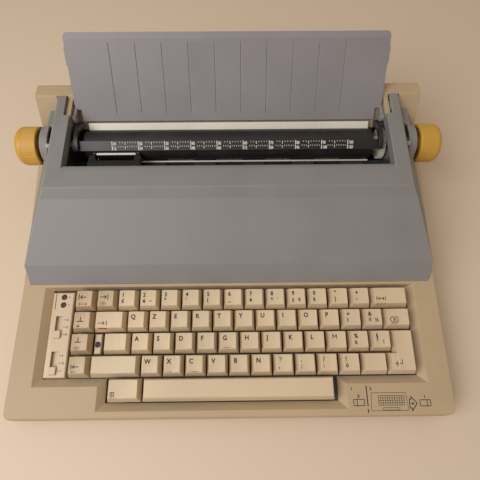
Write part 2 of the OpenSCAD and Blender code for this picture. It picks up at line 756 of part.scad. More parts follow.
// Control strip left of the keys with two lamps and two sliders, and the lock lamp's plate
lamp_r = 2.5;
strip_top = 1;
strip_t = 1.5;
strip_x0 = -well_half + 2.1;
strip_x1 = number_x - 2*key_pitch - 2.6;
strip_v0 = well_front_v + 0.6;
strip_v1 = well_rear_v - 2.6;
strip_mid = (strip_x0 + strip_x1)/2 + 0.6;
lamp_v = [strip_v1 - 4.6, strip_v1 - 11.7];
slider_w = 5.8;
slider_l = 6.4;
slider_travel = 12.8;
slot_x = strip_mid - 2.1;
pitch_slot_v = row_v(3) + 14.4;
line_slot_v = row4_v + 2.6;
lock_x1 = shift_lock[0] - 2.4;
lock_x0 = tab_clear[0] + key_pitch;
lock_v = row_v(3) + 8.5;
lamp_spots = [[strip_mid, lamp_v[0]], [strip_mid, lamp_v[1]], [(lock_x0 + lock_x1)/2, lock_v]];
module strip_box(x0, x1, v0, v1) {
    difference() {
        intersection() {
            along_y(v0, v1)
                polygon([[x0, -well_wall_d], [x1, -well_wall_d], [x1 - 0.5, strip_top - 0.8],
                         [x1 - 1.3, strip_top], [x0 + 1.3, strip_top], [x0 + 0.5, strip_top - 0.8]]);
            along_x(x0, x1)
                polygon([[v0, -well_wall_d], [v1, -well_wall_d], [v1 - 0.4, strip_top - 0.8],
                         [v1 - 1.2, strip_top], [v0 + 1.2, strip_top], [v0 + 0.4, strip_top - 0.8]]);
        }
        block(x0 + strip_t, x1 - strip_t, v0 + strip_t, v1 - strip_t, -well_wall_d - 1,
              strip_top - strip_t);
    }
}
module control_strip() {
    color("#ded3be") on_deck() difference() {
        union() {
            strip_box(strip_x0, strip_x1, strip_v0, strip_v1);
            strip_box(lock_x0, lock_x1, row_v(3), row_v(3) + key_d);
            for (v = [pitch_slot_v, line_slot_v])
                block(strip_x0 + 1, strip_x1 - 1, v - 2, v + slider_l + slider_travel + 2, -3.4, -2.2);
        }
        for (s = lamp_spots) translate([s.x, s.y, -well_wall_d - 1])
            cylinder(r = lamp_r + 0.1, h = well_wall_d + strip_top + 2, $fn = fine);
        for (v = [pitch_slot_v, line_slot_v])
            block(slot_x - slider_w/2 - 0.2, slot_x + slider_w/2 + 0.2, v - 0.2,
                  v + slider_l + slider_travel + 0.2, -2, 3);
    }
}
module indicator_lamps() {
    color("#4a2622") on_deck() for (s = lamp_spots) translate([s.x, s.y, -well_wall_d]) {
        cylinder(r = lamp_r, h = well_wall_d + strip_top - 0.6, $fn = fine);
    }
}
module slider(v) {
    color("#e3dac8") on_deck() {
        block(slot_x - slider_w/2, slot_x + slider_w/2, v, v + slider_l, -1, strip_top + 2);
        block(slot_x - slider_w/2 - 1.2, slot_x + slider_w/2 + 1.2, v - 0.8, v + slider_l + 0.8,
              -1.9, -0.7);
    }
}
module pitch_slider() { slider(pitch_slot_v); }
module line_space_slider() { slider(line_slot_v); }

// Chassis of folded sheet with its studs, the drive bracket and bearing holes
side_top = platen_z + 11;
shoulder_y = chassis_front_y + 26;
ear_low_y = rear_foot_y - 4.6;
bracket_x = gear_x - 0.5 - sheet;
bracket_half = 14;
wall_h = 22;
stud_r = 2;
side_holes = [[front_rod_y, front_rod_z, front_rod_r], [rear_rod_y, rear_rod_z, rear_rod_r],
              [front_roller[0], front_roller[1], roller_shaft_r],
              [rear_roller[0], rear_roller[1], roller_shaft_r], [platen_y, platen_z, bush_r]];
module side_frame() {
    difference() {
        union() {
            along_x(frame_x, frame_x + frame_t)
                polygon([[chassis_front_y, base_z], [chassis_rear_y, base_z],
                         [chassis_rear_y, platen_z - 20], [ear_low_y, platen_z - 5],
                         [ear_low_y, side_top], [shoulder_y, side_top],
                         [chassis_front_y, platen_z - 22]]);
            rod_x(frame_x, frame_x + frame_t, bail_pivot_y, bail_pivot_z, 2.8);
            rod_x(bail_arm_in, frame_x + 0.5, bail_pivot_y, bail_pivot_z, bail_pin_r);
        }
        for (h = side_holes)
            rod_x(frame_x - 1, frame_x + frame_t + 1, h[0], h[1], h[2] + fit);
    }
}
module chassis() {
    pinion = gear_pos(pinion_d);
    idler = gear_pos(idler_d);
    color("#b4b6b5") {
        block(-frame_x - frame_t, frame_x + frame_t, chassis_front_y, chassis_rear_y,
              base_z, base_z + sheet);
        both_sides() side_frame();
        difference() {
            block(-frame_x - 0.5, frame_x + 0.5, chassis_front_y, chassis_front_y + sheet,
                  base_z, base_z + wall_h);
            rod_y(chassis_front_y - 1, chassis_front_y + 3, -pulley_x, belt_z, 4);
        }
        block(-frame_x - 0.5, frame_x + 0.5, chassis_rear_y - sheet, chassis_rear_y,
              base_z, base_z + wall_h);
        rod_y(chassis_front_y + 1, belt_y + belt_w/2 + 1, pulley_x, belt_z, stud_r);
        rod_x(gear_x + 0.4, frame_x + 0.5, idler[0], idler[1], idler_pin_r);
        difference() {
            block(bracket_x, bracket_x + sheet, pinion[0] - bracket_half, chassis_rear_y - 0.5,
                  base_z, pinion[1] + 8);
            rod_x(bracket_x - 1, bracket_x + sheet + 1, pinion[0], pinion[1], 4);
        }
    }
}
module carriage_rods() {
    color("#d3d5d6") {
        rod_x(-frame_x - frame_t, frame_x + frame_t, front_rod_y, front_rod_z, front_rod_r);
        rod_x(-frame_x - frame_t, frame_x + frame_t, rear_rod_y, rear_rod_z, rear_rod_r);
    }
}

// Platen, its shaft, knobs and bushes
module platen() {
    color("#1d1d1f") difference() {
        rod_x(-platen_l/2, platen_l/2, platen_y, platen_z, platen_r);
        rod_x(-platen_l/2 - 1, platen_l/2 + 1, platen_y, platen_z, shaft_r + 0.02);
    }
}
knob_x0 = case_w/2 - 2.8;
knob_x1 = knob_x0 + knob_l;
module platen_shaft() {
    color("#c5c7c8") rod_x(-knob_x1 + 4, knob_x1 - 4, platen_y, platen_z, shaft_r);
}
knob_round = 6;
knob_flutes = 30;
module knob() {
    translate([knob_x0, platen_y, platen_z]) rotate([0, 90, 0]) difference() {
        rotate_extrude($fn = 72)
            polygon(concat([[shaft_r + 0.02, 1.2], [shaft_r + 4, 1.2], [shaft_r + 4, 4],
                            [knob_r - 3, 4], [knob_r - 3, 0], [knob_r - 0.8, 0], [knob_r, 0.8]],
                           [for (a = [0:15:90]) [knob_r - knob_round + knob_round*cos(a),
                            knob_l - knob_round + knob_round*sin(a)]],
                           [[shaft_r + 4, knob_l], [shaft_r + 3.2, knob_l - 0.8],
                            [0, knob_l - 0.8], [0, knob_l - 3.8], [shaft_r + 0.02, knob_l - 3.8]]));
        for (i = [0:knob_flutes - 1]) rotate([0, 0, i*360/knob_flutes])
            translate([knob_r + 0.5, 0, 2.4]) cylinder(r = 1, h = knob_l, $fn = 16);
    }
}
module left_knob() { color("#c2953c") mirror([1, 0, 0]) knob(); }
module right_knob() { color("#c2953c") knob(); }
bush_x0 = gear_x + gear_w + 0.6;
bush_x1 = drum_face_x - 1.8;
module platen_bushes() {
    color("#d8d5cc") both_sides() difference() {
        rod_x(bush_x0, bush_x1, platen_y, platen_z, bush_r);
        rod_x(bush_x0 - 1, bush_x1 + 1, platen_y, platen_z, shaft_r + fit);
    }
}

// Gears of the paper feed drive, drawn with the tooth faces straight
function gear_outline(n, c, turn) =
    let (p = 360/n, r = gear_m*n/2, root = r - 1.1*gear_m, tip = r + 0.75*gear_m)
    [for (i = [0:n - 1], q = [[-0.29, root], [-0.1, tip], [0.1, tip], [0.29, root]])
        [c[0] + q[1]*cos(turn + (i + q[0])*p), c[1] + q[1]*sin(turn + (i + q[0])*p)]];
module gear(n, c, turn) {
    along_x(gear_x, gear_x + gear_w) polygon(gear_outline(n, c, turn));
}
module platen_gear() {
    color("#d9d6cc") difference() {
        union() {
            gear(gear_teeth, [platen_y, platen_z], drive_dir);
            rod_x(platen_l/2 + 1.5, gear_x + 1, platen_y, platen_z, shaft_r + 4);
        }
        rod_x(platen_l/2, gear_x + gear_w + 1, platen_y, platen_z, shaft_r + 0.02);
        for (a = [0:60:300]) rod_x(gear_x - 0.01, gear_x + gear_w + 1,
            platen_y + 10.5*cos(a), platen_z + 10.5*sin(a), 2);
    }
}
module idler_gear() {
    c = gear_pos(idler_d);
    color("#cfccc2") difference() {
        gear(idler_teeth, c, drive_dir + 180/idler_teeth);
        rod_x(gear_x - 1, gear_x + gear_w + 1, c[0], c[1], idler_pin_r + fit);
    }
}
module feed_pinion() {
    c = gear_pos(pinion_d);
    color("#cfccc2") {
        gear(pinion_teeth, c, drive_dir + 180);
        rod_x(bracket_x - 8, gear_x + 1, c[0], c[1], pinion_shaft_r);
    }
}
module feed_motor() {
    c = gear_pos(pinion_d);
    color("#3b3d40") difference() {
        union() {
            rod_x(bracket_x - feed_motor_l, bracket_x, c[0], c[1], feed_motor_r);
            rod_x(bracket_x - 1, bracket_x + sheet, c[0], c[1], 4 - fit);
        }
        rod_x(bracket_x - 9, bracket_x + 3, c[0], c[1], pinion_shaft_r + fit);
        for (a = [45:90:315]) rod_x(bracket_x - feed_motor_l - 1, bracket_x - feed_motor_l + 3,
            c[0] + 8.5*cos(a), c[1] + 8.5*sin(a), 1);
    }
}

// Feed rollers under the platen and the paper chute round it
roller_count = 6;
roller_len = 22;
roller_span = chute_half*2 - 30;
roller_x = [for (i = [0:roller_count - 1]) -roller_span/2 + i*roller_span/(roller_count - 1)];
module feed_roller(c) {
    rod_x(-frame_x - frame_t, frame_x + frame_t, c[0], c[1], roller_shaft_r);
    for (x = roller_x) rod_x(x - roller_len/2, x + roller_len/2, c[0], c[1], roller_r);
}
module front_feed_roller() { color("#35363a") feed_roller(front_roller); }
module rear_feed_roller() { color("#35363a") feed_roller(rear_roller); }
chute_from = -145;
chute_to = 25;
chute_r = platen_r + chute_gap;
chute_slab = 5.8;
module paper_chute() {
    e = [platen_y + chute_r*cos(chute_to), platen_z + chute_r*sin(chute_to)];
    o = [platen_y + (chute_r + chute_t)*cos(chute_to), platen_z + (chute_r + chute_t)*sin(chute_to)];
    slab_dir = [cos(45), sin(45)];
    color("#e6dfcb") difference() {
        union() {
            along_x(-chute_half, chute_half)
                polygon(concat(arc(platen_y, platen_z, chute_r + chute_t, chute_from, chute_to, 24),
                               [o + chute_slab*slab_dir, e + chute_slab*slab_dir],
                               arc(platen_y, platen_z, chute_r, chute_to, chute_from, 24)));
            for (x = [-frame_x + 20, frame_x - 20])
                block(x - 4, x + 4, platen_y + 1, platen_y + 3, base_z + sheet,
                      platen_z - chute_r - 0.4);
        }
        for (x = roller_x, c = [front_roller, rear_roller])
            rod_x(x - roller_len/2 - 1, x + roller_len/2 + 1, c[0], c[1], roller_r + 0.7);
        for (c = [front_roller, rear_roller])
            rod_x(-frame_x, frame_x, c[0], c[1], roller_shaft_r + 0.3);
    }
}

// Bail with its scale bar, lying on the paper in front of the platen
function bail_point(r, t) = [platen_y + r*cos(bail_dir) + t*sin(bail_dir),
                             platen_z + r*sin(bail_dir) - t*cos(bail_dir)];
module bail_bar() {
    along_x(-bail_half, bail_half)
        polygon([bail_point(bail_r, -bail_w/2), bail_point(bail_r + bail_t, -bail_w/2),
                 bail_point(bail_r + bail_t, bail_w/2), bail_point(bail_r, bail_w/2)]);
}
module bail_scale() { color("#1b1b1d") bail_bar(); }
module bail_arms() {
    pivot_dir = atan2(bail_pivot_z - platen_z, bail_pivot_y - platen_y);
    r0 = bail_r + 1;
    color("#242426") difference() {
        both_sides() {
            along_x(bail_arm_in, bail_arm_in + bail_arm_t)
                polygon(concat(arc(platen_y, platen_z, r0 + bail_band, pivot_dir, bail_dir + 11, 16),
                               arc(platen_y, platen_z, r0, bail_dir + 11, pivot_dir, 16)));
            rod_x(bail_arm_in, bail_arm_in + bail_arm_t, bail_pivot_y, bail_pivot_z, 4);
        }
        bail_bar();
        both_sides() rod_x(bail_arm_in - 1, bail_arm_in + bail_arm_t + 1, bail_pivot_y,
                           bail_pivot_z, bail_pin_r + fit);
    }
}

// Release levers turning on the bushes, with tabs through the drum slots
lever_rest = 129;
tab_w = 4.5;
module lever() {
    translate([0, platen_y, platen_z]) rotate([lever_rest - 90, 0, 0]) difference() {
        union() {
            rod_x(lever_x, lever_x + lever_t, 0, 0, bush_r + 3);
            along_x(lever_x, lever_x + lever_t)
                polygon([[-5, 0], [5, 0], [4, 13], [tab_w/2, drum_r - wall - 0.7],
                         [tab_w/2, drum_r + 3.4], [tab_w/2 - 0.8, drum_r + 4.2],
                         [-tab_w/2 + 0.8, drum_r + 4.2], [-tab_w/2, drum_r + 3.4],
                         [-tab_w/2, drum_r - wall - 0.7], [-4, 13]]);
        }
        rod_x(lever_x - 1, lever_x + lever_t + 1, 0, 0, bush_r + fit);
    }
}
module paper_release_lever() { color("#8f8a88") mirror([1, 0, 0]) lever(); }
module platen_release_lever() { color("#8f8a88") lever(); }

// Printing unit on its carriage, parked at the left
module at_carriage() {
    translate([-park_x, 0, 0]) children();
}
cheek_t = 3;
front_boss_r = front_rod_r + 3;
rear_boss_r = rear_rod_r + 3;
deck_top = cassette_z;
module cheek(x) {
    along_x(x, x + cheek_t)
        polygon([[front_rod_y - front_boss_r, front_rod_z], [front_rod_y, front_rod_z - front_boss_r],
                 [rear_rod_y - 4, rear_rod_z - 3], [rear_rod_y + 5, rear_rod_z - 3],
                 [wheel_y - 4, wheel_z - 8], [wheel_y - 4, platen_z - 1],
                 [wheel_y - 6, deck_top], [front_rod_y + 2, deck_top],
                 [front_rod_y - front_boss_r, front_rod_z + 9]]);
}
clip_half = 8;
module carriage() {
    color("#2c2d30") at_carriage() difference() {
        union() {
            cheek(-carriage_half);
            cheek(carriage_half - cheek_t);
            rod_x(-carriage_half, carriage_half, front_rod_y, front_rod_z, front_boss_r);
            rod_x(-carriage_half, carriage_half, rear_rod_y, rear_rod_z, rear_boss_r);
            block(-carriage_half + 1, carriage_half - 1, motor_front_y - 2.5, motor_front_y,
                  front_rod_z, platen_z - 4);
            block(-clip_half, clip_half, belt_y - 3, belt_y + 3, belt_z + pulley_r - 2,
                  front_rod_z - 3);
            block(-carriage_half + 1, carriage_half - 1, front_rod_y + 4, front_rod_y + 12,
                  deck_top - 3, deck_top);
            block(-8, 8, motor_front_y - 1, wheel_y - 8, platen_z - 7, platen_z - 4);
        }
        rod_x(-carriage_half - 1, carriage_half + 1, front_rod_y, front_rod_z, front_rod_r + fit);
        rod_x(-carriage_half - 1, carriage_half + 1, rear_rod_y, rear_rod_z, rear_rod_r + fit);
        block(-clip_half - 1, clip_half + 1, belt_y - belt_w/2 - 0.3, belt_y + belt_w/2 + 0.3,
              belt_z + pulley_r - 3, belt_z + pulley_r + belt_t + 0.4);
        rod_y(motor_front_y - 4, motor_front_y + 1, 0, wheel_z, 5);
    }
}
module wheel_motor() {
    color("#4a4d52") at_carriage() difference() {
        union() {
            rod_y(motor_front_y, wheel_y - 5, 0, wheel_z, motor_r);
            rod_y(motor_front_y - 2, motor_front_y + 1, 0, wheel_z, 5 - fit);
            block(-carriage_half + cheek_t, carriage_half - cheek_t, motor_front_y + 4,
                  motor_front_y + 8, wheel_z - 4, wheel_z + 4);
        }
        rod_y(motor_front_y + 5, wheel_y, 0, wheel_z, 1.5 + fit);
    }
}
petal_root = 11;
petal_p = 360/petal_count;
petal_shape = [[-0.28, petal_root], [-0.12, wheel_r - 6], [-0.26, wheel_r - 5], [-0.26, wheel_r],
               [0.26, wheel_r], [0.26, wheel_r - 5], [0.12, wheel_r - 6], [0.28, petal_root]];
module print_wheel() {
    color("#26272a") at_carriage() {
        translate([0, 0, wheel_z]) along_y(wheel_y, wheel_y + wheel_t)
            polygon([for (i = [0:petal_count - 1], q = petal_shape)
                q[1]*[cos((i + q[0])*petal_p), sin((i + q[0])*petal_p)]]);
        rod_y(wheel_y - 4, wheel_y + wheel_t + 0.6, 0, wheel_z, wheel_hub_r);
        rod_y(motor_front_y + 6, wheel_y, 0, wheel_z, 1.5);
    }
}
module print_hammer() {
    color("#b9bbbd") at_carriage() {
        rod_y(motor_front_y + 4, wheel_y - 0.6 - hammer_stroke, 0, platen_z, 1.6);
        rod_y(motor_front_y + 4, wheel_y - 9, 0, platen_z, hammer_r);
    }
}
module ribbon_cassette() {
    color("#17181a") at_carriage() {
        along_x(-cassette_half, cassette_half)
            polygon([[front_rod_y - 1, cassette_z], [wheel_y - 8, cassette_z],
                     [wheel_y - 8, cassette_z + cassette_h - 1.5],
                     [wheel_y - 10, cassette_z + cassette_h], [front_rod_y + 1, cassette_z + cassette_h],
                     [front_rod_y - 1, cassette_z + cassette_h - 2]]);
        both_sides() along_z(cassette_z + 0.6, cassette_z + cassette_h - 0.8)
            polygon([[cassette_half - 7, wheel_y - 9], [cassette_half, wheel_y - 9],
                     [cassette_half, wheel_y - 4], [cassette_half - 3, wheel_y - 1.8],
                     [cassette_half - 5, wheel_y - 1.8]]);
        block(-cassette_half + 4, cassette_half - 4, wheel_y - 2.4, wheel_y - 2,
              cassette_z + 1, cassette_z + cassette_h - 1.2);
        translate([0, (front_rod_y + wheel_y)/2 - 4, cassette_z])
            cylinder(r = 5, h = cassette_h + 0.8, $fn = fine);
    }
}
module along_z(z0, z1) {
    translate([0, 0, z0]) linear_extrude(z1 - z0) children();
}
guide_y = print_y - 1.8;
module card_guide() {
    color("#c9ccce") at_carriage() {
        along_y(guide_y - 0.7, guide_y + 0.3)
            polygon([[-carriage_half, platen_z + 4], [carriage_half, platen_z + 4],
                     [carriage_half, platen_z + 8.5], [carriage_half - 1.5, platen_z + 8.5],
                     [carriage_half - 3, platen_z + 6.5], [-carriage_half + 3, platen_z + 6.5],
                     [-carriage_half + 1.5, platen_z + 8.5], [-carriage_half, platen_z + 8.5]]);
        both_sides() block(carriage_half - 4.5, carriage_half - cheek_t - 0.3, wheel_y - 9,
                           guide_y, platen_z - 0.5, platen_z + 3.2);
        both_sides() block(carriage_half - 4.5, carriage_half - cheek_t - 0.3, guide_y - 0.7,
                           guide_y + 0.3, platen_z - 0.5, platen_z + 5);
    }
}

// Carriage drive: a belt round two pulleys
module belt_ring(r, w) {
    translate([0, belt_y + w/2, belt_z]) rotate([90, 0, 0]) linear_extrude(w) {
        square([2*pulley_x, 2*r], center = true);
        for (sx = [-1, 1]) translate([sx*pulley_x, 0]) circle(r = r, $fn = fine);
    }
}
module drive_belt() {
    color("#1f1f21") difference() {
        belt_ring(pulley_r + 0.15 + belt_t, belt_w);
        belt_ring(pulley_r + 0.15, belt_w + 1);
    }
}
module pulley() {
    rod_y(belt_y - belt_w/2 - 0.2, belt_y + belt_w/2 + 0.2, pulley_x, belt_z, pulley_r);
}
module left_pulley() {
    color("#c9c6bd") mirror([1, 0, 0]) {
        pulley();
        rod_y(chassis_front_y - 10, belt_y, pulley_x, belt_z, 1.5);
    }
}
module right_pulley() {
    color("#c9c6bd") difference() {
        pulley();
        rod_y(belt_y - 5, belt_y + 5, pulley_x, belt_z, stud_r + fit);
    }
}
carriage_motor_r = 12;
module carriage_motor() {
    color("#43464a") difference() {
        union() {
            rod_y(chassis_front_y - 31, chassis_front_y, -pulley_x, belt_z, carriage_motor_r);
            rod_y(chassis_front_y - 1, chassis_front_y + sheet, -pulley_x, belt_z, 4 - fit);
        }
        rod_y(chassis_front_y - 11, chassis_front_y + 3, -pulley_x, belt_z, 1.5 + fit);
    }
}

// Main board behind and under the keyboard
module main_board() {
    color("#3f6b45") {
        block(board_x0, board_x1, board_y0, board_y1, board_z, board_z + board_t);
        for (p = [[-110, 126, 42, 14, 3.5], [-50, 126, 36, 13, 3.5], [0, 120, 16, 24, 12],
                  [36, 126, 30, 10, 6]])
            block(p[0] - p[2]/2, p[0] + p[2]/2, p[1] - p[3]/2, p[1] + p[3]/2,
                  board_z + board_t - 0.01, board_z + board_t + p[4]);
    }
}

// Switch and inlet in the rear wall
rocker_tilt = 9;
module power_switch() {
    color("#1e1e20") {
        translate([switch_x, case_d - 4, switch_z]) rotate([-rocker_tilt, 0, 0])
            along_x(-switch_w/2 + 1.9, switch_w/2 - 1.9)
                polygon([[-3, -2.2], [0, -5.1], [2.9, -5.1], [1.6, 0], [2.9, 5.1], [0, 5.1],
                         [-3, 2.2]]);
        rod_x(switch_x - switch_w/2 + 0.3, switch_x + switch_w/2 - 0.3, case_d - 4, switch_z, 1);
    }
}
module mains_inlet() {
    color("#1b1b1d") {
        difference() {
            block(inlet_x - inlet_w/2 + 0.2, inlet_x + inlet_w/2 - 0.2, case_d - 14, case_d - 0.3,
                  inlet_z - inlet_h/2 + 0.2, inlet_z + inlet_h/2 - 0.2);
            along_y(case_d - 12, case_d + 1) translate([inlet_x, inlet_z]) {
                square([7, 8], center = true);
                for (sx = [-3.5, 3.5]) translate([sx, 0]) circle(r = 4, $fn = fine);
            }
        }
        for (sx = [-3.3, 3.3])
            rod_y(case_d - 13, case_d - 3, inlet_x + sx, inlet_z, 1.1);
    }
}

on_desk() bottom_case();
on_desk() upper_case();
on_desk() top_cover();
on_desk() paper_support();
on_desk() rubber_feet();
on_desk() case_screws();
on_desk() keyboard_plate();
on_desk() control_strip();
on_desk() indicator_lamps();
on_desk() pitch_slider();
on_desk() line_space_slider();
on_desk() chassis();
on_desk() carriage_rods();
on_desk() platen();
on_desk() platen_shaft();
on_desk() left_knob();
on_desk() right_knob();
on_desk() platen_bushes();
on_desk() platen_gear();
on_desk() idler_gear();
on_desk() feed_pinion();
on_desk() feed_motor();
on_desk() front_feed_roller();
on_desk() rear_feed_roller();
on_desk() paper_chute();
on_desk() bail_scale();
on_desk() bail_arms();
on_desk() paper_release_lever();
on_desk() platen_release_lever();
on_desk() carriage();
on_desk() wheel_motor();
on_desk() print_wheel();
on_desk() print_hammer();
on_desk() ribbon_cassette();
on_desk() card_guide();
on_desk() drive_belt();
on_desk() left_pulley();
on_desk() right_pulley();
on_desk() carriage_motor();
on_desk() main_board();
on_desk() power_switch();
on_desk() mains_inlet();
on_desk() number_row_keys();
on_desk() upper_row_keys();
on_desk() home_row_keys();
on_desk() lower_row_keys();
on_desk() margin_left_key();
on_desk() margin_right_key();
on_desk() backspace_key();
on_desk() tab_set_key();
on_desk() tab_key();
on_desk() correction_key();
on_desk() tab_clear_key();
on_desk() shift_lock_key();
on_desk() return_key();
on_desk() relocate_key();
on_desk() left_shift_key();
on_desk() right_shift_key();
on_desk() code_key();
on_desk() space_bar();
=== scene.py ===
import bpy
import json
import math
from mathutils import Matrix, Vector

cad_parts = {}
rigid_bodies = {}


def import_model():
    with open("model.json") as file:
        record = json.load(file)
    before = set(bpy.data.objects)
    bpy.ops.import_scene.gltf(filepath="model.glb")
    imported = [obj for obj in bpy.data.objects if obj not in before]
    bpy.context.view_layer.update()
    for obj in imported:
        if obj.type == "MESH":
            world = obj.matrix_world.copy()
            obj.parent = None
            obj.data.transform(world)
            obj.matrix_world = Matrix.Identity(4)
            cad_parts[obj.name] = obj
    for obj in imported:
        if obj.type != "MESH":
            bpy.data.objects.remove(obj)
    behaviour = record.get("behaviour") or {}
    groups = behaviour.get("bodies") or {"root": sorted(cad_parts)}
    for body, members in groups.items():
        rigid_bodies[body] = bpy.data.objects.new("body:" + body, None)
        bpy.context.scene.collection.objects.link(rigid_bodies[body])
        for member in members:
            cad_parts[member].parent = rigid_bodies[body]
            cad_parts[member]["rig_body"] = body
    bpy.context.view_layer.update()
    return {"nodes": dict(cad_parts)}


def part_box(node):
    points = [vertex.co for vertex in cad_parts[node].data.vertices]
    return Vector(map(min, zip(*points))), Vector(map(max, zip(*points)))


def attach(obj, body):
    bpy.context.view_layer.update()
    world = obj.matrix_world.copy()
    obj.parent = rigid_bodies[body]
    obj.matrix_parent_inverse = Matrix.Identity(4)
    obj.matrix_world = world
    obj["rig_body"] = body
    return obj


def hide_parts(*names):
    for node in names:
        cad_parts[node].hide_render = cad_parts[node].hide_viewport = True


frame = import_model()

# Camera: it stands where the photographer stood, above the keyboard's front edge, looking down
# at the machine and a little towards its rear wall.
eye = (0.00709, -0.17742, 0.39930)
tilt, roll, heading = 26.061, -0.134, -0.675  # degrees
camera_data = bpy.data.cameras.new("camera")
camera_data.lens = 30.56
camera = bpy.data.objects.new("camera", camera_data)
camera.location = eye
camera.rotation_euler = [math.radians(angle) for angle in (tilt, roll, heading)]
bpy.context.collection.objects.link(camera)
bpy.context.scene.camera = camera

# Bottom case: an injection-moulded tray of beige ABS with ribs and cooling slots, screwed up
# into the upper case. Both case halves have the same fine spark-eroded texture from the tool.
plastic_cloud = 60  # mm over which a moulding's colour and gloss drift


def linear(code):
    """An sRGB hex colour as linear red, green, blue and alpha."""
    parts = [int(code[i:i + 2], 16) / 255 for i in (1, 3, 5)]
    return [c / 12.92 if c <= 0.04045 else ((c + 0.055) / 1.055) ** 2.4 for c in parts] + [1.0]


def add(material, kind, settings=None, links=None):
    """Adds a node. Settings are its properties and inputs by name or number, and links say
    which node and output feed an input."""
    node = material.node_tree.nodes.new(kind)
    for name, value in (settings or {}).items():
        if isinstance(name, int) or name in node.inputs:
            node.inputs[name].default_value = value
        else:
            setattr(node, name, value)
    for name, (source, output) in (links or {}).items():
        material.node_tree.links.new(source.outputs[output], node.inputs[name])
    return node


def blank(name):
    """A material with no nodes yet."""
    material = bpy.data.materials.new(name)
    material.use_nodes = True
    material.node_tree.nodes.clear()
    return material


def moulded_plastic(name, colour, worn_and_highlight, grain=1.1, depth=0.05, rough=0.55, edge=0.5):
    """A moulded plastic: its colour clouds a little. Its tool texture has that grain and depth in
    mm, coarser than life so that it shows. Its edges are rounded to that radius in mm and
    lightened towards the second colour, partly as wear from handling and partly as a painted
    highlight along the edges."""
    m = blank(name)
    place = add(m, "ShaderNodeTexCoord")
    cloud = add(m, "ShaderNodeTexNoise", {"Scale": 1000 / plastic_cloud, "Detail": 4.0},
                {"Vector": (place, "Object")})
    grit = add(m, "ShaderNodeTexNoise", {"Scale": 1000 / grain, "Detail": 2.0},
               {"Vector": (place, "Object")})
    corner = add(m, "ShaderNodeBevel", {"samples": 6, "Radius": edge / 1000})
    flat = add(m, "ShaderNodeNewGeometry")
    turned = add(m, "ShaderNodeVectorMath", {"operation": "DOT_PRODUCT"},
                 {0: (corner, "Normal"), 1: (flat, "Normal")})
    # Edges lightened towards the second colour: partly wear, partly a painted highlight.
    rubbed_and_highlit = add(m, "ShaderNodeMapRange", {"From Min": 0.9995, "From Max": 0.97, "To Max": 0.6},
                 {"Value": (turned, "Value")})
    shade = add(m, "ShaderNodeMapRange",
                {"From Min": 0.3, "From Max": 0.7, "To Min": 0.93, "To Max": 1.05},
                {"Value": (cloud, "Fac")})
    deep = add(m, "ShaderNodeMix",
               {"data_type": "RGBA", "blend_type": "MULTIPLY", 0: 1.0, 6: linear(colour)},
               {7: (shade, "Result")})
    surface = add(m, "ShaderNodeMix", {"data_type": "RGBA", 7: linear(worn_and_highlight)},
                  {0: (rubbed_and_highlit, "Result"), 6: (deep, 2)})
    gloss = add(m, "ShaderNodeMapRange",
                {"From Min": 0.3, "From Max": 0.7, "To Min": rough - 0.05, "To Max": rough + 0.07},
                {"Value": (cloud, "Fac")})
    bump = add(m, "ShaderNodeBump", {"Strength": 0.35, "Distance": depth / 1000},
               {"Height": (grit, "Fac"), "Normal": (corner, "Normal")})
    shader = add(m, "ShaderNodeBsdfPrincipled", {"IOR": 1.52},
                 {"Base Color": (surface, 2), "Roughness": (gloss, "Result"),
                  "Normal": (bump, "Normal")})
    add(m, "ShaderNodeOutputMaterial", links={"Surface": (shader, "BSDF")})
    return m


def dress(piece, material):
    """Gives a piece one material all over."""
    for place in piece.material_slots:
        place.material = material


# Spark-eroded beige ABS: a dull, even sheen and a fine grain that breaks up the highlights.
lower_beige = moulded_plastic("spark_eroded_abs_lower", "#a99373", "#c0aa8b")
dress(frame["nodes"]["bottom_case"], lower_beige)

# Feet and case screws: four moulded rubber feet are pushed into the tray, and four zinc-plated
# screws go up through its corners into the upper case.
rubber_bloom = 25  # mm across a patch of bloom
steel_line = 0.6  # mm across a line left by rolling or grinding, drawn coarse enough to show
steel_run = 30  # mm along such a line
zinc_spangle = 5  # mm across a crystal of the zinc
sheen_swing = 0.25 / 3  # by which a steel's roughness varies either way


def darker(colour, share):
    """A hex colour that gives back only that share of its light."""
    return [c * share for c in linear(colour)[:3]] + [1.0]


def rubber(name, colour, grain, rough):
    """Filled black rubber: no clear highlight, and a dusty bloom that comes and goes. Its grain
    in mm is coarser than life, so that it shows."""
    m = blank(name)
    place = add(m, "ShaderNodeTexCoord")
    bloom = add(m, "ShaderNodeTexNoise", {"Scale": 1000 / rubber_bloom, "Detail": 5.0},
                {"Vector": (place, "Object")})
    grit = add(m, "ShaderNodeTexNoise", {"Scale": 1000 / grain, "Detail": 3.0},
               {"Vector": (place, "Object")})
    dust = add(m, "ShaderNodeMapRange", {"From Min": 0.4, "From Max": 0.8, "To Max": 0.02},
               {"Value": (bloom, "Fac")})
    tone = add(m, "ShaderNodeMix",
               {"data_type": "RGBA", "blend_type": "SCREEN", 0: 1.0, 6: linear(colour)},
               {7: (dust, "Result")})
    gloss = add(m, "ShaderNodeMapRange", {"To Min": rough - 0.08, "To Max": rough + 0.08},
                {"Value": (bloom, "Fac")})
    bump = add(m, "ShaderNodeBump", {"Strength": 0.3, "Distance": 0.00005},
               {"Height": (grit, "Fac")})
    shader = add(m, "ShaderNodeBsdfPrincipled", {"IOR": 1.52},
                 {"Base Color": (tone, 2), "Roughness": (gloss, "Result"),
                  "Normal": (bump, "Normal")})
    add(m, "ShaderNodeOutputMaterial", links={"Surface": (shader, "BSDF")})
    return m


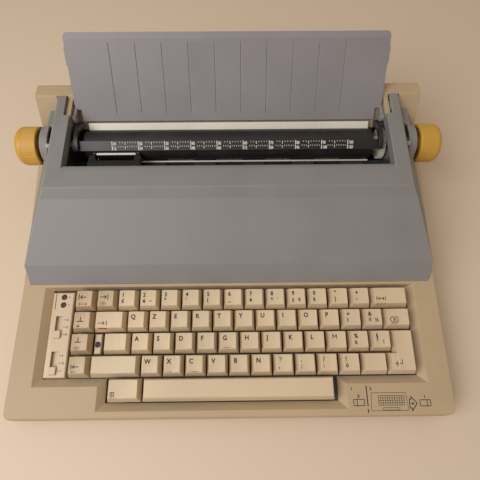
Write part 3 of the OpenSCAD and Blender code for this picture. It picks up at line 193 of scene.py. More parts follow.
def steel(name, colour, along, rough, spangle=0.0):
    """Steel with its rolling or grinding lines along one axis, and zinc spangle where plated."""
    m = blank(name)
    place = add(m, "ShaderNodeTexCoord")
    size = [1000 / steel_line] * 3
    size["XYZ".index(along)] = 1000 / steel_run
    lay = add(m, "ShaderNodeMapping", {"Scale": size}, {"Vector": (place, "Object")})
    lines = add(m, "ShaderNodeTexNoise", {"Scale": 1.0, "Detail": 3.0},
                {"Vector": (lay, "Vector")})
    flake = add(m, "ShaderNodeTexVoronoi", {"Scale": 1000 / zinc_spangle},
                {"Vector": (place, "Object")})
    pattern = add(m, "ShaderNodeMath", {"operation": "MULTIPLY_ADD", 1: spangle},
                  {0: (flake, "Distance"), 2: (lines, "Fac")})
    tone = add(m, "ShaderNodeValToRGB", {}, {"Fac": (pattern, "Value")})
    low, high = tone.color_ramp.elements
    low.position, low.color = 0.25, darker(colour, 0.78)
    high.position, high.color = 0.85, linear(colour)
    gloss = add(m, "ShaderNodeMapRange",
                {"To Min": rough - sheen_swing, "To Max": rough + sheen_swing},
                {"Value": (lines, "Fac")})
    bump = add(m, "ShaderNodeBump", {"Strength": 0.15, "Distance": 0.00004},
               {"Height": (lines, "Fac")})
    shader = add(m, "ShaderNodeBsdfPrincipled", {"Metallic": 1.0},
                 {"Base Color": (tone, "Color"), "Roughness": (gloss, "Result"),
                  "Normal": (bump, "Normal")})
    add(m, "ShaderNodeOutputMaterial", links={"Surface": (shader, "BSDF")})
    return m


# Moulded rubber: nearly black and without shine, so the machine seems to float on its shadow.
foot_rubber = rubber("moulded_rubber", "#2f2f30", 0.8, 0.8)
dress(frame["nodes"]["rubber_feet"], foot_rubber)
# Zinc-plated screw steel: small, bluish glints down in the screw holes.
screw_steel = steel("zinc_plated_screw_steel", "#9a9c9e", "Z", 0.35)
dress(frame["nodes"]["case_screws"], screw_steel)

# Chassis: a folded tray of zinc-plated sheet steel with two side frames, the carriage's two
# ground rods through them, and the drive studs riveted in.

# Zinc-plated sheet: pale grey, with the spangle's crystals showing as flat patches.
sheet_steel = steel("zinc_plated_sheet_steel", "#b4b6b5", "X", 0.42, spangle=0.35)
dress(frame["nodes"]["chassis"], sheet_steel)
# Ground bright steel: a long clear highlight along the rods.
rod_steel = steel("ground_bright_steel", "#cfd1d2", "X", 0.2)
dress(frame["nodes"]["carriage_rods"], rod_steel)

# Main board: glass-epoxy laminate under green solder mask, with its chips, capacitor and
# crystal soldered on top; it lies on four bosses under the keyboard.
board_low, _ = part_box("main_board")
mask_top = board_low.z + 0.0017  # just above the face of the 1.6 mm laminate
track_cell = 12  # mm along a bundle of tracks

# Solder mask: a glossy green with paler copper tracks under it, and black chips above.
board_green = blank("green_solder_mask")
where = add(board_green, "ShaderNodeTexCoord")
track = add(board_green, "ShaderNodeTexBrick",
            {"Scale": 1000 / track_cell, "Color1": linear("#2f5c38"), "Color2": linear("#37683f"),
             "Mortar": linear("#5b8a55"), "Mortar Size": 0.06, "Brick Width": 1.4,
             "Row Height": 0.35}, {"Vector": (where, "Object")})
height = add(board_green, "ShaderNodeSeparateXYZ", {}, {"Vector": (where, "Object")})
chips = add(board_green, "ShaderNodeMath", {"operation": "GREATER_THAN", 1: mask_top},
            {0: (height, "Z")})
both = add(board_green, "ShaderNodeMix", {"data_type": "RGBA", 7: linear("#1d1d1f")},
           {0: (chips, "Value"), 6: (track, "Color")})
board_shine = add(board_green, "ShaderNodeBsdfPrincipled",
                  {"Roughness": 0.35, "Coat Weight": 0.3}, {"Base Color": (both, 2)})
add(board_green, "ShaderNodeOutputMaterial", links={"Surface": (board_shine, "BSDF")})
dress(frame["nodes"]["main_board"], board_green)

# Motors: the feed motor, the carriage motor and the print-wheel motor are turned steel cans
# under dark enamel, screwed to their brackets.
orange_peel = 2.5  # mm across a ripple of the enamel
enamel_cloud = 30  # mm over which its tone drifts


def enamel(name, colour, rough):
    """Stoved enamel on steel: a smooth coat with a faint orange peel."""
    m = blank(name)
    place = add(m, "ShaderNodeTexCoord")
    peel = add(m, "ShaderNodeTexNoise", {"Scale": 1000 / orange_peel, "Detail": 2.0},
               {"Vector": (place, "Object")})
    cloud = add(m, "ShaderNodeTexNoise", {"Scale": 1000 / enamel_cloud},
                {"Vector": (place, "Object")})
    tone = add(m, "ShaderNodeValToRGB", {}, {"Fac": (cloud, "Fac")})
    low, high = tone.color_ramp.elements
    low.color, high.color = darker(colour, 0.8), linear(colour)
    bump = add(m, "ShaderNodeBump", {"Strength": 0.1, "Distance": 0.0001},
               {"Height": (peel, "Fac")})
    shader = add(m, "ShaderNodeBsdfPrincipled", {"Roughness": rough, "Coat Weight": 0.25},
                 {"Base Color": (tone, "Color"), "Normal": (bump, "Normal")})
    add(m, "ShaderNodeOutputMaterial", links={"Surface": (shader, "BSDF")})
    return m


# Dark stoved enamel: a soft, even highlight round each can.
can_enamel = enamel("dark_stoved_enamel", "#43464a", 0.35)
for name in ("feed_motor", "carriage_motor", "wheel_motor"):
    dress(frame["nodes"][name], can_enamel)

# Belt: a toothless rubber belt with a fabric back, moulded as a loop and stretched round two
# pulleys. The carriage is clipped to its upper run.

# Belt rubber: black and a little smoother than the feet.
belt_rubber = rubber("fabric_backed_belt_rubber", "#1f1f21", 0.5, 0.7)
dress(frame["nodes"]["drive_belt"], belt_rubber)

# Pulleys, bushes and gears: small mouldings of natural nylon, left in its own colour. They run
# dry against the steel of the studs and shafts.

# Natural nylon: waxy, milky white with soft highlights.
nylon = moulded_plastic("natural_nylon", "#cdc6b4", "#ddd7c8", grain=0.9, depth=0.02,
                        rough=0.4, edge=0.3)
for name in ("left_pulley", "right_pulley", "platen_bushes", "platen_gear", "idler_gear",
             "feed_pinion"):
    dress(frame["nodes"][name], nylon)

# Paper feed: two steel shafts with black rubber rollers, and the cream moulded chute that
# guides the sheet round the platen and up behind it.
for name in ("front_feed_roller", "rear_feed_roller"):
    dress(frame["nodes"][name], foot_rubber)
# Satin polystyrene: pale and smooth, so its edge reads as a cream line behind the platen.
chute_cream = moulded_plastic("satin_polystyrene_cream", "#dcd8ca", "#e6e3d8", grain=2.0,
                              depth=0.02, rough=0.32, edge=0.4)
dress(frame["nodes"]["paper_chute"], chute_cream)

# Platen: a tube of hard black rubber, ground true, bonded to its steel shaft. It turns in two
# nylon bushes and carries a gear at its right end.
weld = 0.000004  # m, within which a CAD mesh's loose corners are one
coplanar = 0.3  # degrees, below which two of its triangles are one face


def rounded(node, material, width=0.3, steps=2, limit=30):
    """A merged copy of a CAD node with its edges rounded to that width in mm. It stands for the
    node, rides on its body and takes its finish."""
    bpy.ops.object.select_all(action="DESELECT")
    source = frame["nodes"][node]
    piece = bpy.data.objects.new(node + "_finished", source.data.copy())
    bpy.context.collection.objects.link(piece)
    bpy.context.view_layer.objects.active = piece
    piece.select_set(True)
    bpy.ops.object.mode_set(mode="EDIT")
    bpy.ops.mesh.select_all(action="SELECT")
    bpy.ops.mesh.remove_doubles(threshold=weld)
    bpy.ops.mesh.dissolve_limited(angle_limit=math.radians(coplanar))
    bpy.ops.object.mode_set(mode="OBJECT")
    bpy.ops.object.shade_smooth_by_angle(angle=math.radians(limit))
    edge = piece.modifiers.new("edge", "BEVEL")
    edge.width = width / 1000
    edge.segments = steps
    edge.limit_method = "ANGLE"
    edge.angle_limit = math.radians(limit)
    edge.harden_normals = True
    bpy.ops.object.modifier_apply(modifier="edge")
    dress(piece, material)
    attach(piece, source["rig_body"])
    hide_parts(node)
    return piece


# Ground platen rubber: a warm black with one broad, dull highlight.
platen_rubber = rubber("ground_platen_rubber", "#1f1b19", 0.6, 0.62)
rounded("platen", platen_rubber, 0.4)
rounded("platen_shaft", rod_steel, 0.4)

# Bail: a flat black scale bar moulded with two curved arms, hinged on pins on the side
# frames. Its white scales for ten and twelve characters to the inch are hot-stamped.

# Satin black ABS: smooth enough to catch a thin highlight along the bar.
bail_black = moulded_plastic("satin_black_abs", "#1e1b1a", "#312d2b", grain=1.5, depth=0.02,
                             rough=0.38, edge=0.3)
dress(frame["nodes"]["bail_scale"], bail_black)
rounded("bail_arms", bail_black, 0.25)

ink_speck = 0.8  # mm across an uneven spot of the ink, coarser than life so that it shows
ink_lift = 0.03  # mm from a flat surface to the ink on it
ink_skin = 0.00004  # m from a dished surface to the ink pressed on to it
stroke_step = 0.8  # mm between the points of a drawn line, so it can follow a dished surface
capital_share = 0.73  # of a letter's size, that its capitals are high
thickening = 0.045  # of a letter's height, by which its outline grows


def ink(name, colour):
    """Printing ink or hot-stamping foil: thin, dull and a little uneven."""
    m = blank(name)
    place = add(m, "ShaderNodeTexCoord")
    speck = add(m, "ShaderNodeTexNoise", {"Scale": 1000 / ink_speck, "Detail": 2.0},
                {"Vector": (place, "Object")})
    tone = add(m, "ShaderNodeValToRGB", {}, {"Fac": (speck, "Fac")})
    low, high = tone.color_ramp.elements
    low.color, high.color = darker(colour, 0.85), linear(colour)
    shader = add(m, "ShaderNodeBsdfPrincipled", {"Roughness": 0.6},
                 {"Base Color": (tone, "Color")})
    add(m, "ShaderNodeOutputMaterial", links={"Surface": (shader, "BSDF")})
    return m


def lettering(body, x, y, height, squeeze=0.92):
    """A word or character whose capitals have that height, its baseline starting at x and y, in
    mm, its width squeezed."""
    bpy.ops.object.text_add(location=(x / 1000, y / 1000, 0))
    made = bpy.context.object
    made.data.body = body
    made.data.size = height / 1000 / capital_share
    made.data.offset = thickening * height / 1000
    made.data.resolution_u = 3
    made.scale.x = squeeze
    return made


def strokes(lines, width):
    """Drawn lines of that width in mm. Each is a list of points in mm."""
    data = bpy.data.curves.new("strokes", "CURVE")
    data.dimensions = "3D"
    data.twist_mode = "Z_UP"
    data.extrude = width / 2000
    for corners in lines:
        points = [corners[0]]
        for (x0, y0), (x1, y1) in zip(corners, corners[1:]):
            parts = math.ceil(math.hypot(x1 - x0, y1 - y0) / stroke_step)
            points += [(x0 + (x1 - x0) * k / parts, y0 + (y1 - y0) * k / parts)
                       for k in range(1, parts + 1)]
        line = data.splines.new("POLY")
        line.points.add(len(points) - 1)
        for dot, (x, y) in zip(line.points, points):
            dot.co = (x / 1000, y / 1000, 0, 1)
            dot.tilt = math.pi / 2
    made = bpy.data.objects.new("strokes", data)
    bpy.context.collection.objects.link(made)
    return made


def printed(name, marks, plane, body, material, onto=None):
    """Joins marks drawn on a plane into one piece, lays it in its place and, where the surface
    is dished, presses it on to it."""
    bpy.ops.object.select_all(action="DESELECT")
    for mark in marks:
        mark.select_set(True)
    bpy.context.view_layer.objects.active = marks[0]
    bpy.ops.object.convert(target="MESH")
    bpy.ops.object.transform_apply(location=True, rotation=True, scale=True)
    if len(marks) > 1:
        bpy.ops.object.join()
    piece = bpy.context.object
    piece.name = name
    piece.matrix_world = plane
    bpy.ops.object.transform_apply(location=True, rotation=True, scale=True)
    if onto:
        press = piece.modifiers.new("press", "SHRINKWRAP")
        press.target = onto
        press.wrap_method = "PROJECT"
        press.use_project_z = True
        press.use_negative_direction = True
        press.use_positive_direction = True
        press.wrap_mode = "ABOVE_SURFACE"
        press.offset = ink_skin
        bpy.ops.object.modifier_apply(modifier="press")
    piece.data.materials.clear()
    piece.data.materials.append(material)
    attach(piece, body)
    return piece


def lying_on(origin, along, up, lift):
    """The frame of a printed surface, raised by that many mm."""
    along, up = Vector(along).normalized(), Vector(up).normalized()
    out = along.cross(up)
    m = Matrix((along, up, out)).transposed().to_4x4()
    m.translation = Vector(origin) + out * lift / 1000
    return m


platen_low, platen_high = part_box("platen")
platen_axis = (platen_low + platen_high) / 2
bail_turn = math.radians(130.5)  # how far the bar stands round the platen, from its rear
bail_reach = 0.0176  # from the platen's axis to the bar's printed face
bail_out = Vector((0, math.cos(bail_turn), math.sin(bail_turn)))
bail_up = Vector((0, math.sin(bail_turn), -math.cos(bail_turn)))
bail_face = lying_on(platen_axis + bail_out * bail_reach, (1, 0, 0), bail_up, ink_lift)

inch, inch_marks, first_mark = 25.4, 10, -113.05
half, tenth, twelfth = inch / 2, inch / 10, inch / 12
figure_height, figure_squeeze, figure_gap = 3.0, 0.72, 0.9
marks = []
for count in range(inch_marks):
    x = first_mark + count * inch
    marks.append(strokes([[(x, 0.2), (x, 4.2)], [(x, -4.1), (x, -0.2)]], 0.8))
    for per_inch, y in ((10, 0.5), (12, -3.9)):
        marks.append(lettering(str(per_inch * (count + 1)), x + figure_gap, y, figure_height,
                               figure_squeeze))
    if count < inch_marks - 1:
        # The figures stand where the first two ticks would be.
        fine = [[(x + tenth * i, 2.6), (x + tenth * i, 3.8)] for i in range(3, 10) if i != 5]
        fine += [[(x + twelfth * i, -1.3), (x + twelfth * i, -0.1)]
                 for i in range(3, 12) if i != 6]
        middle = [[(x + half, 1.0), (x + half, 3.6)], [(x + half, -3.0), (x + half, -0.4)]]
        marks += [strokes(fine, 0.5), strokes(middle, 0.6)]
# Hot-stamped foil: a slightly warm white that stands out sharply on the black.
scale_white = ink("white_hot_stamped_foil", "#e6e2da")
printed("bail_scale_marks", marks, bail_face, "bail", scale_white)

# Release levers: two grey moulded levers that turn on the bushes, with a ribbed tab each
# that shows through the slots in the cover's drums.

# Satin grey ABS: lighter than the cover round it, so the tabs show in their slots.
lever_grey = moulded_plastic("satin_grey_abs", "#9b9692", "#aca7a3", grain=1.5, depth=0.02,
                             rough=0.4, edge=0.3)
rounded("paper_release_lever", lever_grey, 0.3)
rounded("platen_release_lever", lever_grey, 0.3)

# Printing unit: a black moulded carriage that slides on the two rods. It carries the spoked
# print wheel, the steel hammer that strikes its petals and, on top, the ribbon cassette.

# Glass-filled nylon: dark and dry, without a clear highlight.
carriage_black = moulded_plastic("glass_filled_black_nylon", "#1f1e1f", "#343335", grain=1.3,
                                 depth=0.04, rough=0.6, edge=0.3)
dress(frame["nodes"]["carriage"], carriage_black)
# Glossy nylon: the petals catch the light one by one.
wheel_black = moulded_plastic("glossy_black_nylon", "#26272a", "#3b3c40", grain=2.0, depth=0.01,
                              rough=0.25, edge=0.1)
dress(frame["nodes"]["print_wheel"], wheel_black)
dress(frame["nodes"]["print_hammer"], rod_steel)
# Satin polystyrene: a dull black, so the cassette hardly shows in the cover's opening.
cassette_black = moulded_plastic("satin_black_polystyrene", "#111112", "#262628", grain=1.2,
                                 depth=0.02, rough=0.55)
rounded("ribbon_cassette", cassette_black, 0.3)

# Card guide: a strip of bright steel, stamped and bent, on two arms of the carriage. Its thin
# lip leads a card round the platen.
lip_middle = (-0.110, 0.0733, 0.0786)
lip_size = (0.038, 0.0036, 0.0005)
lip_lean = math.radians(23)
lip_edge = 0.0002  # radius of the lip's edges

# Bright stamped steel: the one pale streak under the bail.
guide_steel = steel("bright_stamped_steel", "#bdbab5", "X", 0.5)
rounded("card_guide", guide_steel, 0.1)
bpy.ops.object.select_all(action="DESELECT")
bpy.ops.mesh.primitive_cube_add(size=1, location=lip_middle, rotation=(lip_lean, 0, 0),
                                scale=lip_size)
guide_lip = bpy.context.object
guide_lip.name = "card_guide_lip"
bpy.ops.object.transform_apply(location=True, rotation=True, scale=True)
bpy.ops.object.mode_set(mode="EDIT")
bpy.ops.mesh.bevel(offset=lip_edge, segments=2)
bpy.ops.object.mode_set(mode="OBJECT")
guide_lip.data.materials.append(guide_steel)
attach(guide_lip, frame["nodes"]["card_guide"]["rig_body"])

# Upper case: the beige ABS deck with its bevelled key well, side walls, seam flange and high
# rear wall, all in one moulding, seated on the tray along the case's parting line.

# Spark-eroded beige ABS: the tray's finish, a shade lighter, so that the seam shows.
upper_beige = moulded_plastic("spark_eroded_abs_upper", "#b8a282", "#cab598")
dress(frame["nodes"]["upper_case"], upper_beige)

# Keyboard plate: a sheet of enamelled steel under the keys, pierced for their square stems. It
# shows only as the dark gaps between the caps.

# Matt enamel: dark and dull, so that the gaps read as deep.
plate_enamel = enamel("matt_black_grey_enamel", "#4a4846", 0.6)
dress(frame["nodes"]["keyboard_plate"], plate_enamel)

# Power switch and mains inlet: a black polycarbonate rocker and a two-pin socket, both
# clipped into the rear wall.

# Glossy polycarbonate: a sharp highlight on the rocker's edge.
glossy_black = moulded_plastic("glossy_black_polycarbonate", "#1b1b1d", "#2d2d30", grain=2.0,
                               depth=0.01, rough=0.2, edge=0.3)
rounded("power_switch", glossy_black, 0.3)
dress(frame["nodes"]["mains_inlet"], glossy_black)

# Top cover: a hipped shell of blue-grey ABS in the same texture as the case, with an opening
# over the platen, a drum round each platen end and two arms to the hinges behind.

# Spark-eroded ABS: a flat grey with a dull sheen, lightened along its rounded edges by a broad
# painted highlight in a pale grey.
cover_grey = moulded_plastic("spark_eroded_abs_cover", "#868485", "#bab7b5", edge=1.0)
rounded("top_cover", cover_grey, 0.35)

# Paper support: a fluted plate of smoother blue-grey ABS with a finger lip at its top and two
# ears that snap on the pins of the case's hinge fingers.

# Satin ABS: a shade bluer and shinier than the cover.
support_grey = moulded_plastic("satin_abs_support", "#8b878c", "#aeaaae", grain=1.4, depth=0.02,
                               rough=0.45)
rounded("paper_support", support_grey, 0.3)

# Knobs: two thick mustard-yellow mouldings pressed on the platen shaft, with a round end, a
# hollow back and a grip so fine that it reads as smooth from where the camera stands.

# Satin mustard ABS: the machine's one strong colour, with a soft highlight on the round end.
knob_mustard = moulded_plastic("satin_mustard_abs", "#ca9c3c", "#d0a54a", grain=1.2, depth=0.03,
                               rough=0.4)
knob_hub = 0.0075  # radius of the boss on the shaft
knob_nose = 0.006  # radius of the round outer end
knob_heel = 0.0008  # radius of the inner edge
knob_wall = 0.0022  # thickness of the rim round the hollow back
hollow_edge = 0.0031  # heel, wall and draft together
grip_start, grip_end = 0.0024, 0.0072  # how far the grip stays from the inner and outer end
grooves, groove_flank, groove_depth = 72, 0.00012, 0.0002
crease = 25  # degrees from which an edge stays sharp to the eye
draft = 0.0001  # by which the walls of the hollow back lean, so that it leaves its mould
hollow_depth, boss_height, cap_step = 0.004, 0.0028, 0.0008
touch = 1e-6  # within which a point lies on an end face


def pick(piece, kind, test):
    """Selects the edges or faces, in a mesh being edited, whose middle passes a test."""
    bpy.ops.mesh.select_mode(type=kind)
    bpy.ops.mesh.select_all(action="DESELECT")
    bpy.ops.object.mode_set(mode="OBJECT")
    for part in (piece.data.edges if kind == "EDGE" else piece.data.polygons):
        spots = [piece.data.vertices[v].co for v in part.vertices]
        part.select = test(sum(spots, Vector()) / len(spots))
    bpy.ops.object.mode_set(mode="EDIT")


def knob(node, side):
    """A knob shaped from a cylinder on the Z axis, its outer end up, and laid on its own axis."""
    low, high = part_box(node)
    radius, length = (high.y - low.y) / 2, high.x - low.x
    top = length / 2
    bpy.ops.object.select_all(action="DESELECT")
    bpy.ops.mesh.primitive_cylinder_add(vertices=2 * grooves, radius=radius, depth=length)
    piece = bpy.context.object
    piece.name = node + "_turned"
    bpy.ops.object.mode_set(mode="EDIT")
    pick(piece, "EDGE", lambda c: c.z > top - touch)
    bpy.ops.mesh.bevel(offset=knob_nose, segments=7)
    pick(piece, "EDGE", lambda c: c.z < touch - top)
    bpy.ops.mesh.bevel(offset=knob_heel, segments=2)
    for height in (grip_start - top, top - grip_end):
        bpy.ops.mesh.select_all(action="SELECT")
        bpy.ops.mesh.bisect(plane_co=(0, 0, height), plane_no=(0, 0, 1))
    pick(piece, "FACE", lambda c: grip_start - top < c.z < top - grip_end
         and math.floor(math.atan2(c.y, c.x) / math.pi * grooves) % 2 == 0)
    bpy.ops.mesh.inset(thickness=groove_flank, depth=-groove_depth, use_individual=True)
    pick(piece, "FACE", lambda c: c.z > top - touch)
    bpy.ops.mesh.inset(thickness=radius - knob_nose - knob_hub)
    bpy.ops.mesh.inset(thickness=cap_step, depth=-cap_step)
    pick(piece, "FACE", lambda c: c.z < touch - top)
    bpy.ops.mesh.inset(thickness=knob_wall)
    bpy.ops.mesh.inset(thickness=draft, depth=-hollow_depth)
    bpy.ops.mesh.inset(thickness=radius - hollow_edge - knob_hub)
    bpy.ops.mesh.inset(thickness=draft, depth=boss_height)
    bpy.ops.object.mode_set(mode="OBJECT")
    bpy.ops.object.shade_smooth_by_angle(angle=math.radians(crease))
    piece.location = (low + high) / 2
    piece.rotation_euler.y = side * math.pi / 2
    bpy.ops.object.transform_apply(location=True, rotation=True, scale=True)
    piece.data.materials.append(knob_mustard)
    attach(piece, frame["nodes"][node]["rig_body"])
    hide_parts(node)


knob("left_knob", -1)
knob("right_knob", 1)

# Control strip: a cream moulding left of the keys with two lamps and two slide switches, and
# the small plate with the lock lamp. Its marks are pad-printed.

# Satin ABS: the cream of the keys, a shade darker.
strip_cream = moulded_plastic("satin_abs_strip", "#d0bb9d", "#dccab0", grain=1.2, depth=0.02,
                              rough=0.45)
rounded("control_strip", strip_cream, 0.2)
for name in ("pitch_slider", "line_space_slider"):
    rounded(name, strip_cream, 0.35)
# Dark red acrylic: unlit, so nearly black.
lamp_red = moulded_plastic("dark_red_acrylic", "#35201f", "#4d2f2c", grain=3.0, depth=0.01,
                           rough=0.55, edge=0.6)
rounded("indicator_lamps", lamp_red, 0.6, steps=3)

case_low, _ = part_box("upper_case")
deck_slope = math.radians(7)
deck_up = Vector((0, math.cos(deck_slope), math.sin(deck_slope)))
deck_edge_z = 0.028  # height of the deck's front edge
deck_front = Vector((0, case_low.y, deck_edge_z))
strip_top = 1.0  # mm above the deck


def deck_plane(lift):
    """The deck's plane, raised by that many mm. Its origin is at the middle of the front edge."""
    return lying_on(deck_front, (1, 0, 0), deck_up, lift)


# Pad-printing inks: dull and slightly uneven, a brownish black and a brick red.
black_ink = ink("black_pad_printing_ink", "#221b18")
red_ink = ink("red_pad_printing_ink", "#a85a43")
bracket = [(-157.6, 106.2), (-158.2, 106.2), (-158.2, 92.9), (-157.6, 92.9)]
lamp_ticks = [[(-146.9, v), (-145.5, v)] for v in (103.15, 96.05)]
marks = [strokes([bracket], 0.55), strokes(lamp_ticks, 0.7)]
switch_step = 6.4  # mm from one place of a slide switch to the next
number_height = 1.8
for slot_end, numbers in ((66.65, ("10", "12", "15")), (35.8, ("1", "1½", "2"))):
    for i, number in enumerate(numbers):
        v = slot_end + switch_step * (i + 0.5)
        marks.append(strokes([[(-148.8, v), (-147.4, v)]], 0.55))
        marks.append(lettering(number, -146.8, v - number_height / 2, number_height))
printed("strip_marks", marks, deck_plane(strip_top + ink_lift), "base", black_ink)

# Character keys: cream ABS caps with drawn-in sides and dished tops on square stems, the rows
# staggered by a half, a quarter and a half pitch. Their characters are printed, black for the
# first meaning and red for the second.

# Satin ABS in cream and tan: a soft highlight in each dish, and edges paler, partly from use and
# partly as a painted highlight.
cap_cream = moulded_plastic("satin_abs_key_cream", "#d3bfa0", "#e2d0b4", grain=1.3, depth=0.02,
                            rough=0.42, edge=0.5)
cap_tan = moulded_plastic("satin_abs_key_tan", "#c0aa8a", "#d2bd9f", grain=1.3, depth=0.02,
                          rough=0.42, edge=0.5)
cap_top = 9.4  # mm from the deck to the rim of a cap
cap_plane = deck_plane(cap_top)
pitch = 19.05
first_cell, front_row = -100.8, 33.2  # left edge of the top row and front edge of the lowest
letter_left, letter_up, letter_height = 4.2, 10.6, 4.0  # a single character in its cell
upper_up, upper_height = 11.2, 3.7  # the upper one of two characters
hook_drop = 0.4  # by which the drawn question mark stands lower than that
lower_up, lower_height = 6.0, 3.6
third_left, third_height = 9.8, 3.4  # a third one, right of the lower one

# Each row's shift to the right and place from the front, in pitches, and its characters.
rows = {
    "number_row_keys": (0, 3, ["1£", "2é~", '3"', "4'", "5(", "6_", "7è", "8^¨", "9çù", "0à",
                               "°)", "+-"]),
    "upper_row_keys": (0.5, 2, list("QZERTYUIOP") + ["=ì", "&$½"]),
    "home_row_keys": (0.75, 1, list("ASDFGHJKLM") + ["%ù", "§*!"]),
    "lower_row_keys": (1.25, 0, list("WXCVBN") + ["?,", ".;", "/:", "!ò"]),
}
red_lines = {
    "home_row_keys": [[(81.0, 4.5), (87.2, 4.5)], [(81.9, 3.4), (86.3, 3.4)]],
    "lower_row_keys": [[(22.8, 3.9), (27.6, 3.9)], [(41.7, 3.9), (50.2, 3.9)]],
}


def keytop(node, material, black, red=()):
    """A bank's caps with their edges rounded, and the characters printed on them."""
    caps = rounded(node, material, width=0.45, steps=3, limit=25)
    body = frame["nodes"][node]["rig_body"]
    if black:
        printed(node + "_black", black, cap_plane, body, black_ink, caps)
    if red:
        printed(node + "_red", red, cap_plane, body, red_ink, caps)


def question_mark(x, y):
    """A question mark drawn in strokes, its hook and its dot."""
    hook = [(0.2, 3.1), (0.6, 3.9), (1.5, 4.2), (2.5, 3.8), (2.7, 3.0), (1.5, 1.9), (1.4, 1.2)]
    dot = [(x + 1.4, y), (x + 1.4, y + 0.5)]
    return strokes([[(x + a, y + b) for a, b in hook], dot], 0.55)


def letter_m(x, y):
    """A capital M drawn in strokes."""
    corners = [(0.3, 0), (0.3, 3.9), (2.0, 1.2), (3.7, 3.9), (3.7, 0)]
    return strokes([[(x + a, y + b) for a, b in corners]], 0.6)


for node, (shift, row, caps) in rows.items():
    x, v = first_cell + shift * pitch, front_row + row * pitch
    black = []
    for i, signs in enumerate(caps):
        left = x + i * pitch + letter_left
        if signs == "M":
            black.append(letter_m(left, v + letter_up))
        elif len(signs) == 1:
            black.append(lettering(signs, left, v + letter_up, letter_height))
        else:
            black.append(question_mark(left, v + upper_up - hook_drop) if signs[0] == "?"
                         else lettering(signs[0], left, v + upper_up, upper_height))
            black.append(lettering(signs[1], left, v + lower_up, lower_height))
        if len(signs) == 3:
            black.append(lettering(signs[2], x + i * pitch + third_left, v + lower_up,
                                   third_height))
    red = []
    if node in red_lines:
        red = [strokes([[(x + a, v + b) for a, b in line] for line in red_lines[node]], 0.55)]
    keytop(node, cap_cream, black, red)

# Keys that stand alone: margins, tabs, shifts, correction, relocate and code, in the same cream
# or a tan ABS, each on stems of its own. Arrows, stops and small signs are printed on them.


def arrow(x, y, length, head, side=1):
    """A shaft and an open head, pointing right, or left where side is -1."""
    tip = x + side * length
    return [[(x, y), (tip, y)],
            [(tip - side * head, y + head), (tip, y), (tip - side * head, y - head)]]


def stop(x, y, height):
    """An upright line that an arrow runs up to, or starts from."""
    return [[(x, y + height / 2), (x, y - height / 2)]]


keytop("margin_left_key", cap_tan,
       [strokes(stop(-134.7, 101.7, 5.0) + arrow(-128.2, 101.7, 5.2, 1.6, -1), 0.75)],
       [strokes(arrow(-130.2, 95.4, 4.2, 1.2, -1) + arrow(-130.0, 95.4, 2.6, 1.2), 0.7)])
keytop("margin_right_key", cap_tan,
       [strokes(stop(-109.0, 101.7, 5.0) + arrow(-115.6, 101.7, 5.2, 1.6), 0.75)],
       [strokes([[(-115.6, 95.4), (-114.2, 96.8), (-111.6, 96.8), (-110.2, 95.4), (-111.6, 94.0),
                  (-114.2, 94.0), (-115.6, 95.4)], [(-113.7, 96.1), (-112.1, 94.7)],
                 [(-113.7, 94.7), (-112.1, 96.1)]], 0.6)])
keytop("backspace_key", cap_cream,
       [strokes(stop(131.8, 97.7, 3.4) + stop(139.8, 97.7, 3.4)
                + arrow(135.8, 97.7, 2.7, 1.2, -1) + arrow(135.8, 97.7, 2.7, 1.2), 0.6)],
       [strokes(arrow(134.0, 93.4, 1.8, 0.9, -1) + arrow(137.0, 93.4, 1.8, 0.9, -1)
                + arrow(140.0, 93.4, 1.8, 0.9, -1), 0.45)])
keytop("tab_set_key", cap_tan,
       [strokes([[(-134.2, 80.2), (-128.6, 80.2)], [(-131.4, 80.2), (-131.4, 84.2)]], 0.75),
        strokes([[(-134.2, 76.0), (-131.4, 76.0)], [(-132.8, 77.4), (-132.8, 74.6)]], 0.7)])
keytop("tab_key", cap_cream,
       [strokes(arrow(-115.6, 78.5, 5.6, 1.5) + stop(-108.2, 78.5, 4.0), 0.65)],
       [strokes([[(-115.4, 74.2), (-108.0, 74.2)]], 0.55)])
keytop("correction_key", cap_cream,
       [strokes([[(141.2, 78.9), (143.1, 81.1), (148.5, 81.1), (148.5, 76.7), (143.1, 76.7),
                  (141.2, 78.9)], [(144.2, 80.2), (146.9, 77.6)],
                 [(144.2, 77.6), (146.9, 80.2)]], 0.6)],
       [strokes([[(141.3, 75.5), (147.4, 75.5)]], 0.6)])
keytop("tab_clear_key", cap_tan,
       [strokes([[(-134.2, 62.4), (-128.6, 62.4)], [(-131.4, 62.4), (-131.4, 66.4)]], 0.75)],
       [strokes([[(-134.4, 57.0), (-133.0, 58.5), (-130.9, 58.5), (-129.5, 57.0), (-130.9, 55.5),
                  (-133.0, 55.5), (-134.4, 57.0)], [(-132.8, 57.8), (-131.2, 56.2)],
                 [(-132.8, 56.2), (-131.2, 57.8)]], 0.6)])
keytop("shift_lock_key", cap_cream, [])
keytop("return_key", cap_cream,
       [strokes([[(147.2, 45.2), (147.2, 41.6), (141.6, 41.6)],
                 [(143.8, 43.8), (141.6, 41.6), (143.8, 39.4)]], 0.6)])
keytop("relocate_key", cap_tan,
       [strokes(stop(-134.6, 42.0, 3.6) + arrow(-128.4, 42.0, 5.0, 1.4, -1), 0.75)],
       [strokes(arrow(-130.0, 37.9, 4.2, 1.1, -1), 0.6)])
keytop("left_shift_key", cap_cream, [])
keytop("right_shift_key", cap_cream, [])
keytop("code_key", cap_cream,
       [strokes([[(-99.6, 21.2), (-96.6, 21.2), (-96.6, 18.4), (-99.6, 18.4), (-99.6, 21.2)],
                 [(-98.1, 21.2), (-98.1, 18.4)]], 0.6)],
       [strokes([[(-99.6, 16.9), (-94.6, 16.9)]], 0.7)])
keytop("space_bar", cap_cream, [])

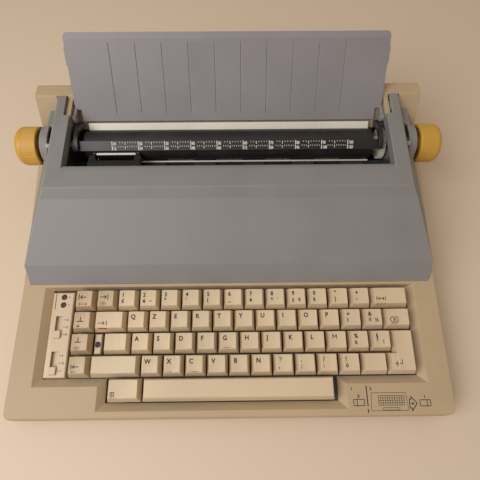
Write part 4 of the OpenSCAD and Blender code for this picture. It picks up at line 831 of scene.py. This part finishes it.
# Instruction print on the deck's right corner: thin dark drawings of the rocker switch off, the
# block of keys and the rocker switch on, pad-printed on the texture.
grid_left, grid_front, cell_wide, cell_deep, cells_wide, cells_deep = 125.6, 8.3, 2.0, 1.9, 11, 4
grid_right, grid_rear = grid_left + cell_wide * cells_wide, grid_front + cell_deep * cells_deep
grid = [[(grid_left + cell_wide * i, grid_front), (grid_left + cell_wide * i, grid_rear)]
        for i in range(cells_wide + 1)]
grid += [[(grid_left, grid_front + cell_deep * i), (grid_right, grid_front + cell_deep * i)]
         for i in range(cells_deep + 1)]
outline = [[(120.0, 18.2), (149.4, 18.2), (150.6, 4.0), (119.0, 4.0), (120.0, 18.2)],
           [(129.0, 4.6), (129.0, 6.4), (143.0, 6.4), (143.0, 4.6), (129.0, 4.6)]]
rockers = [[(104.6, 8.2), (113.8, 8.2), (113.8, 13.2), (104.6, 13.2), (104.6, 8.2)],
           [(107.6, 8.2), (107.6, 13.2)],
           [(160.8, 7.4), (169.8, 7.4), (169.8, 12.2), (160.8, 12.2), (160.8, 7.4)],
           [(166.8, 7.4), (166.8, 12.2)]]
pointer = [[(151.9, 13.0), (153.4, 12.6), (153.4, 15.0), (158.3, 9.6), (153.4, 3.6),
            (153.4, 6.0), (151.9, 5.8), (151.9, 13.0)],
           [(153.3, 9.4), (155.7, 9.4)], [(154.5, 8.2), (154.5, 10.6)]]
divider = [[(116.4, 24.0), (116.4, 7.4)], [(116.3, 5.6), (116.3, 2.6)]]
marks = [strokes(divider, 0.9), strokes(pointer, 0.75), strokes(rockers, 0.6),
         strokes(grid + outline, 0.36),
         lettering("1", 102.9, 20.4, 2.6), lettering("2", 119.0, 20.4, 2.6),
         lettering("0", 108.2, 14.4, 2.7), lettering("1", 164.4, 13.4, 2.7)]
printed("deck_print", marks, deck_plane(ink_lift), "base", black_ink)

# Table: a plain pale top of painted board, on which the machine stands. It reaches so far that
# no view shows its edge.

# Matt paint: a warm off-white that keeps the soft shadow.
bpy.ops.object.select_all(action="DESELECT")
bpy.ops.mesh.primitive_plane_add(size=6)
table = bpy.context.object
table.name = "table"
table_paint = blank("matt_table_paint")
table_shader = add(table_paint, "ShaderNodeBsdfPrincipled",
                   {"Base Color": linear("#dccab4"), "Roughness": 0.6})
add(table_paint, "ShaderNodeOutputMaterial", links={"Surface": (table_shader, "BSDF")})
table.data.materials.append(table_paint)

# Room light: a warm glow from the walls, a large soft window at the front left and a weak
# ceiling lamp, at a level where colours come out about as they are written.
world = bpy.data.worlds.new("room")
world.use_nodes = True
world.node_tree.nodes["Background"].inputs["Color"].default_value = linear("#f6e3cb")
world.node_tree.nodes["Background"].inputs["Strength"].default_value = 0.42
bpy.context.scene.world = world


def lamp(name, place, size, power):
    """A square soft lamp that faces the machine."""
    data = bpy.data.lights.new(name, "AREA")
    data.shape = "SQUARE"
    data.size = size
    data.energy = power
    light = bpy.data.objects.new(name, data)
    light.location = place
    light.rotation_euler = (-Vector(place)).to_track_quat("-Z", "Y").to_euler()
    bpy.context.collection.objects.link(light)


lamp("window", place=(-0.70, -0.48, 1.00), size=0.8, power=10.6)
lamp("ceiling", place=(0.2, -0.1, 1.9), size=1.6, power=2.4)

bpy.context.scene.view_settings.view_transform = "Standard"
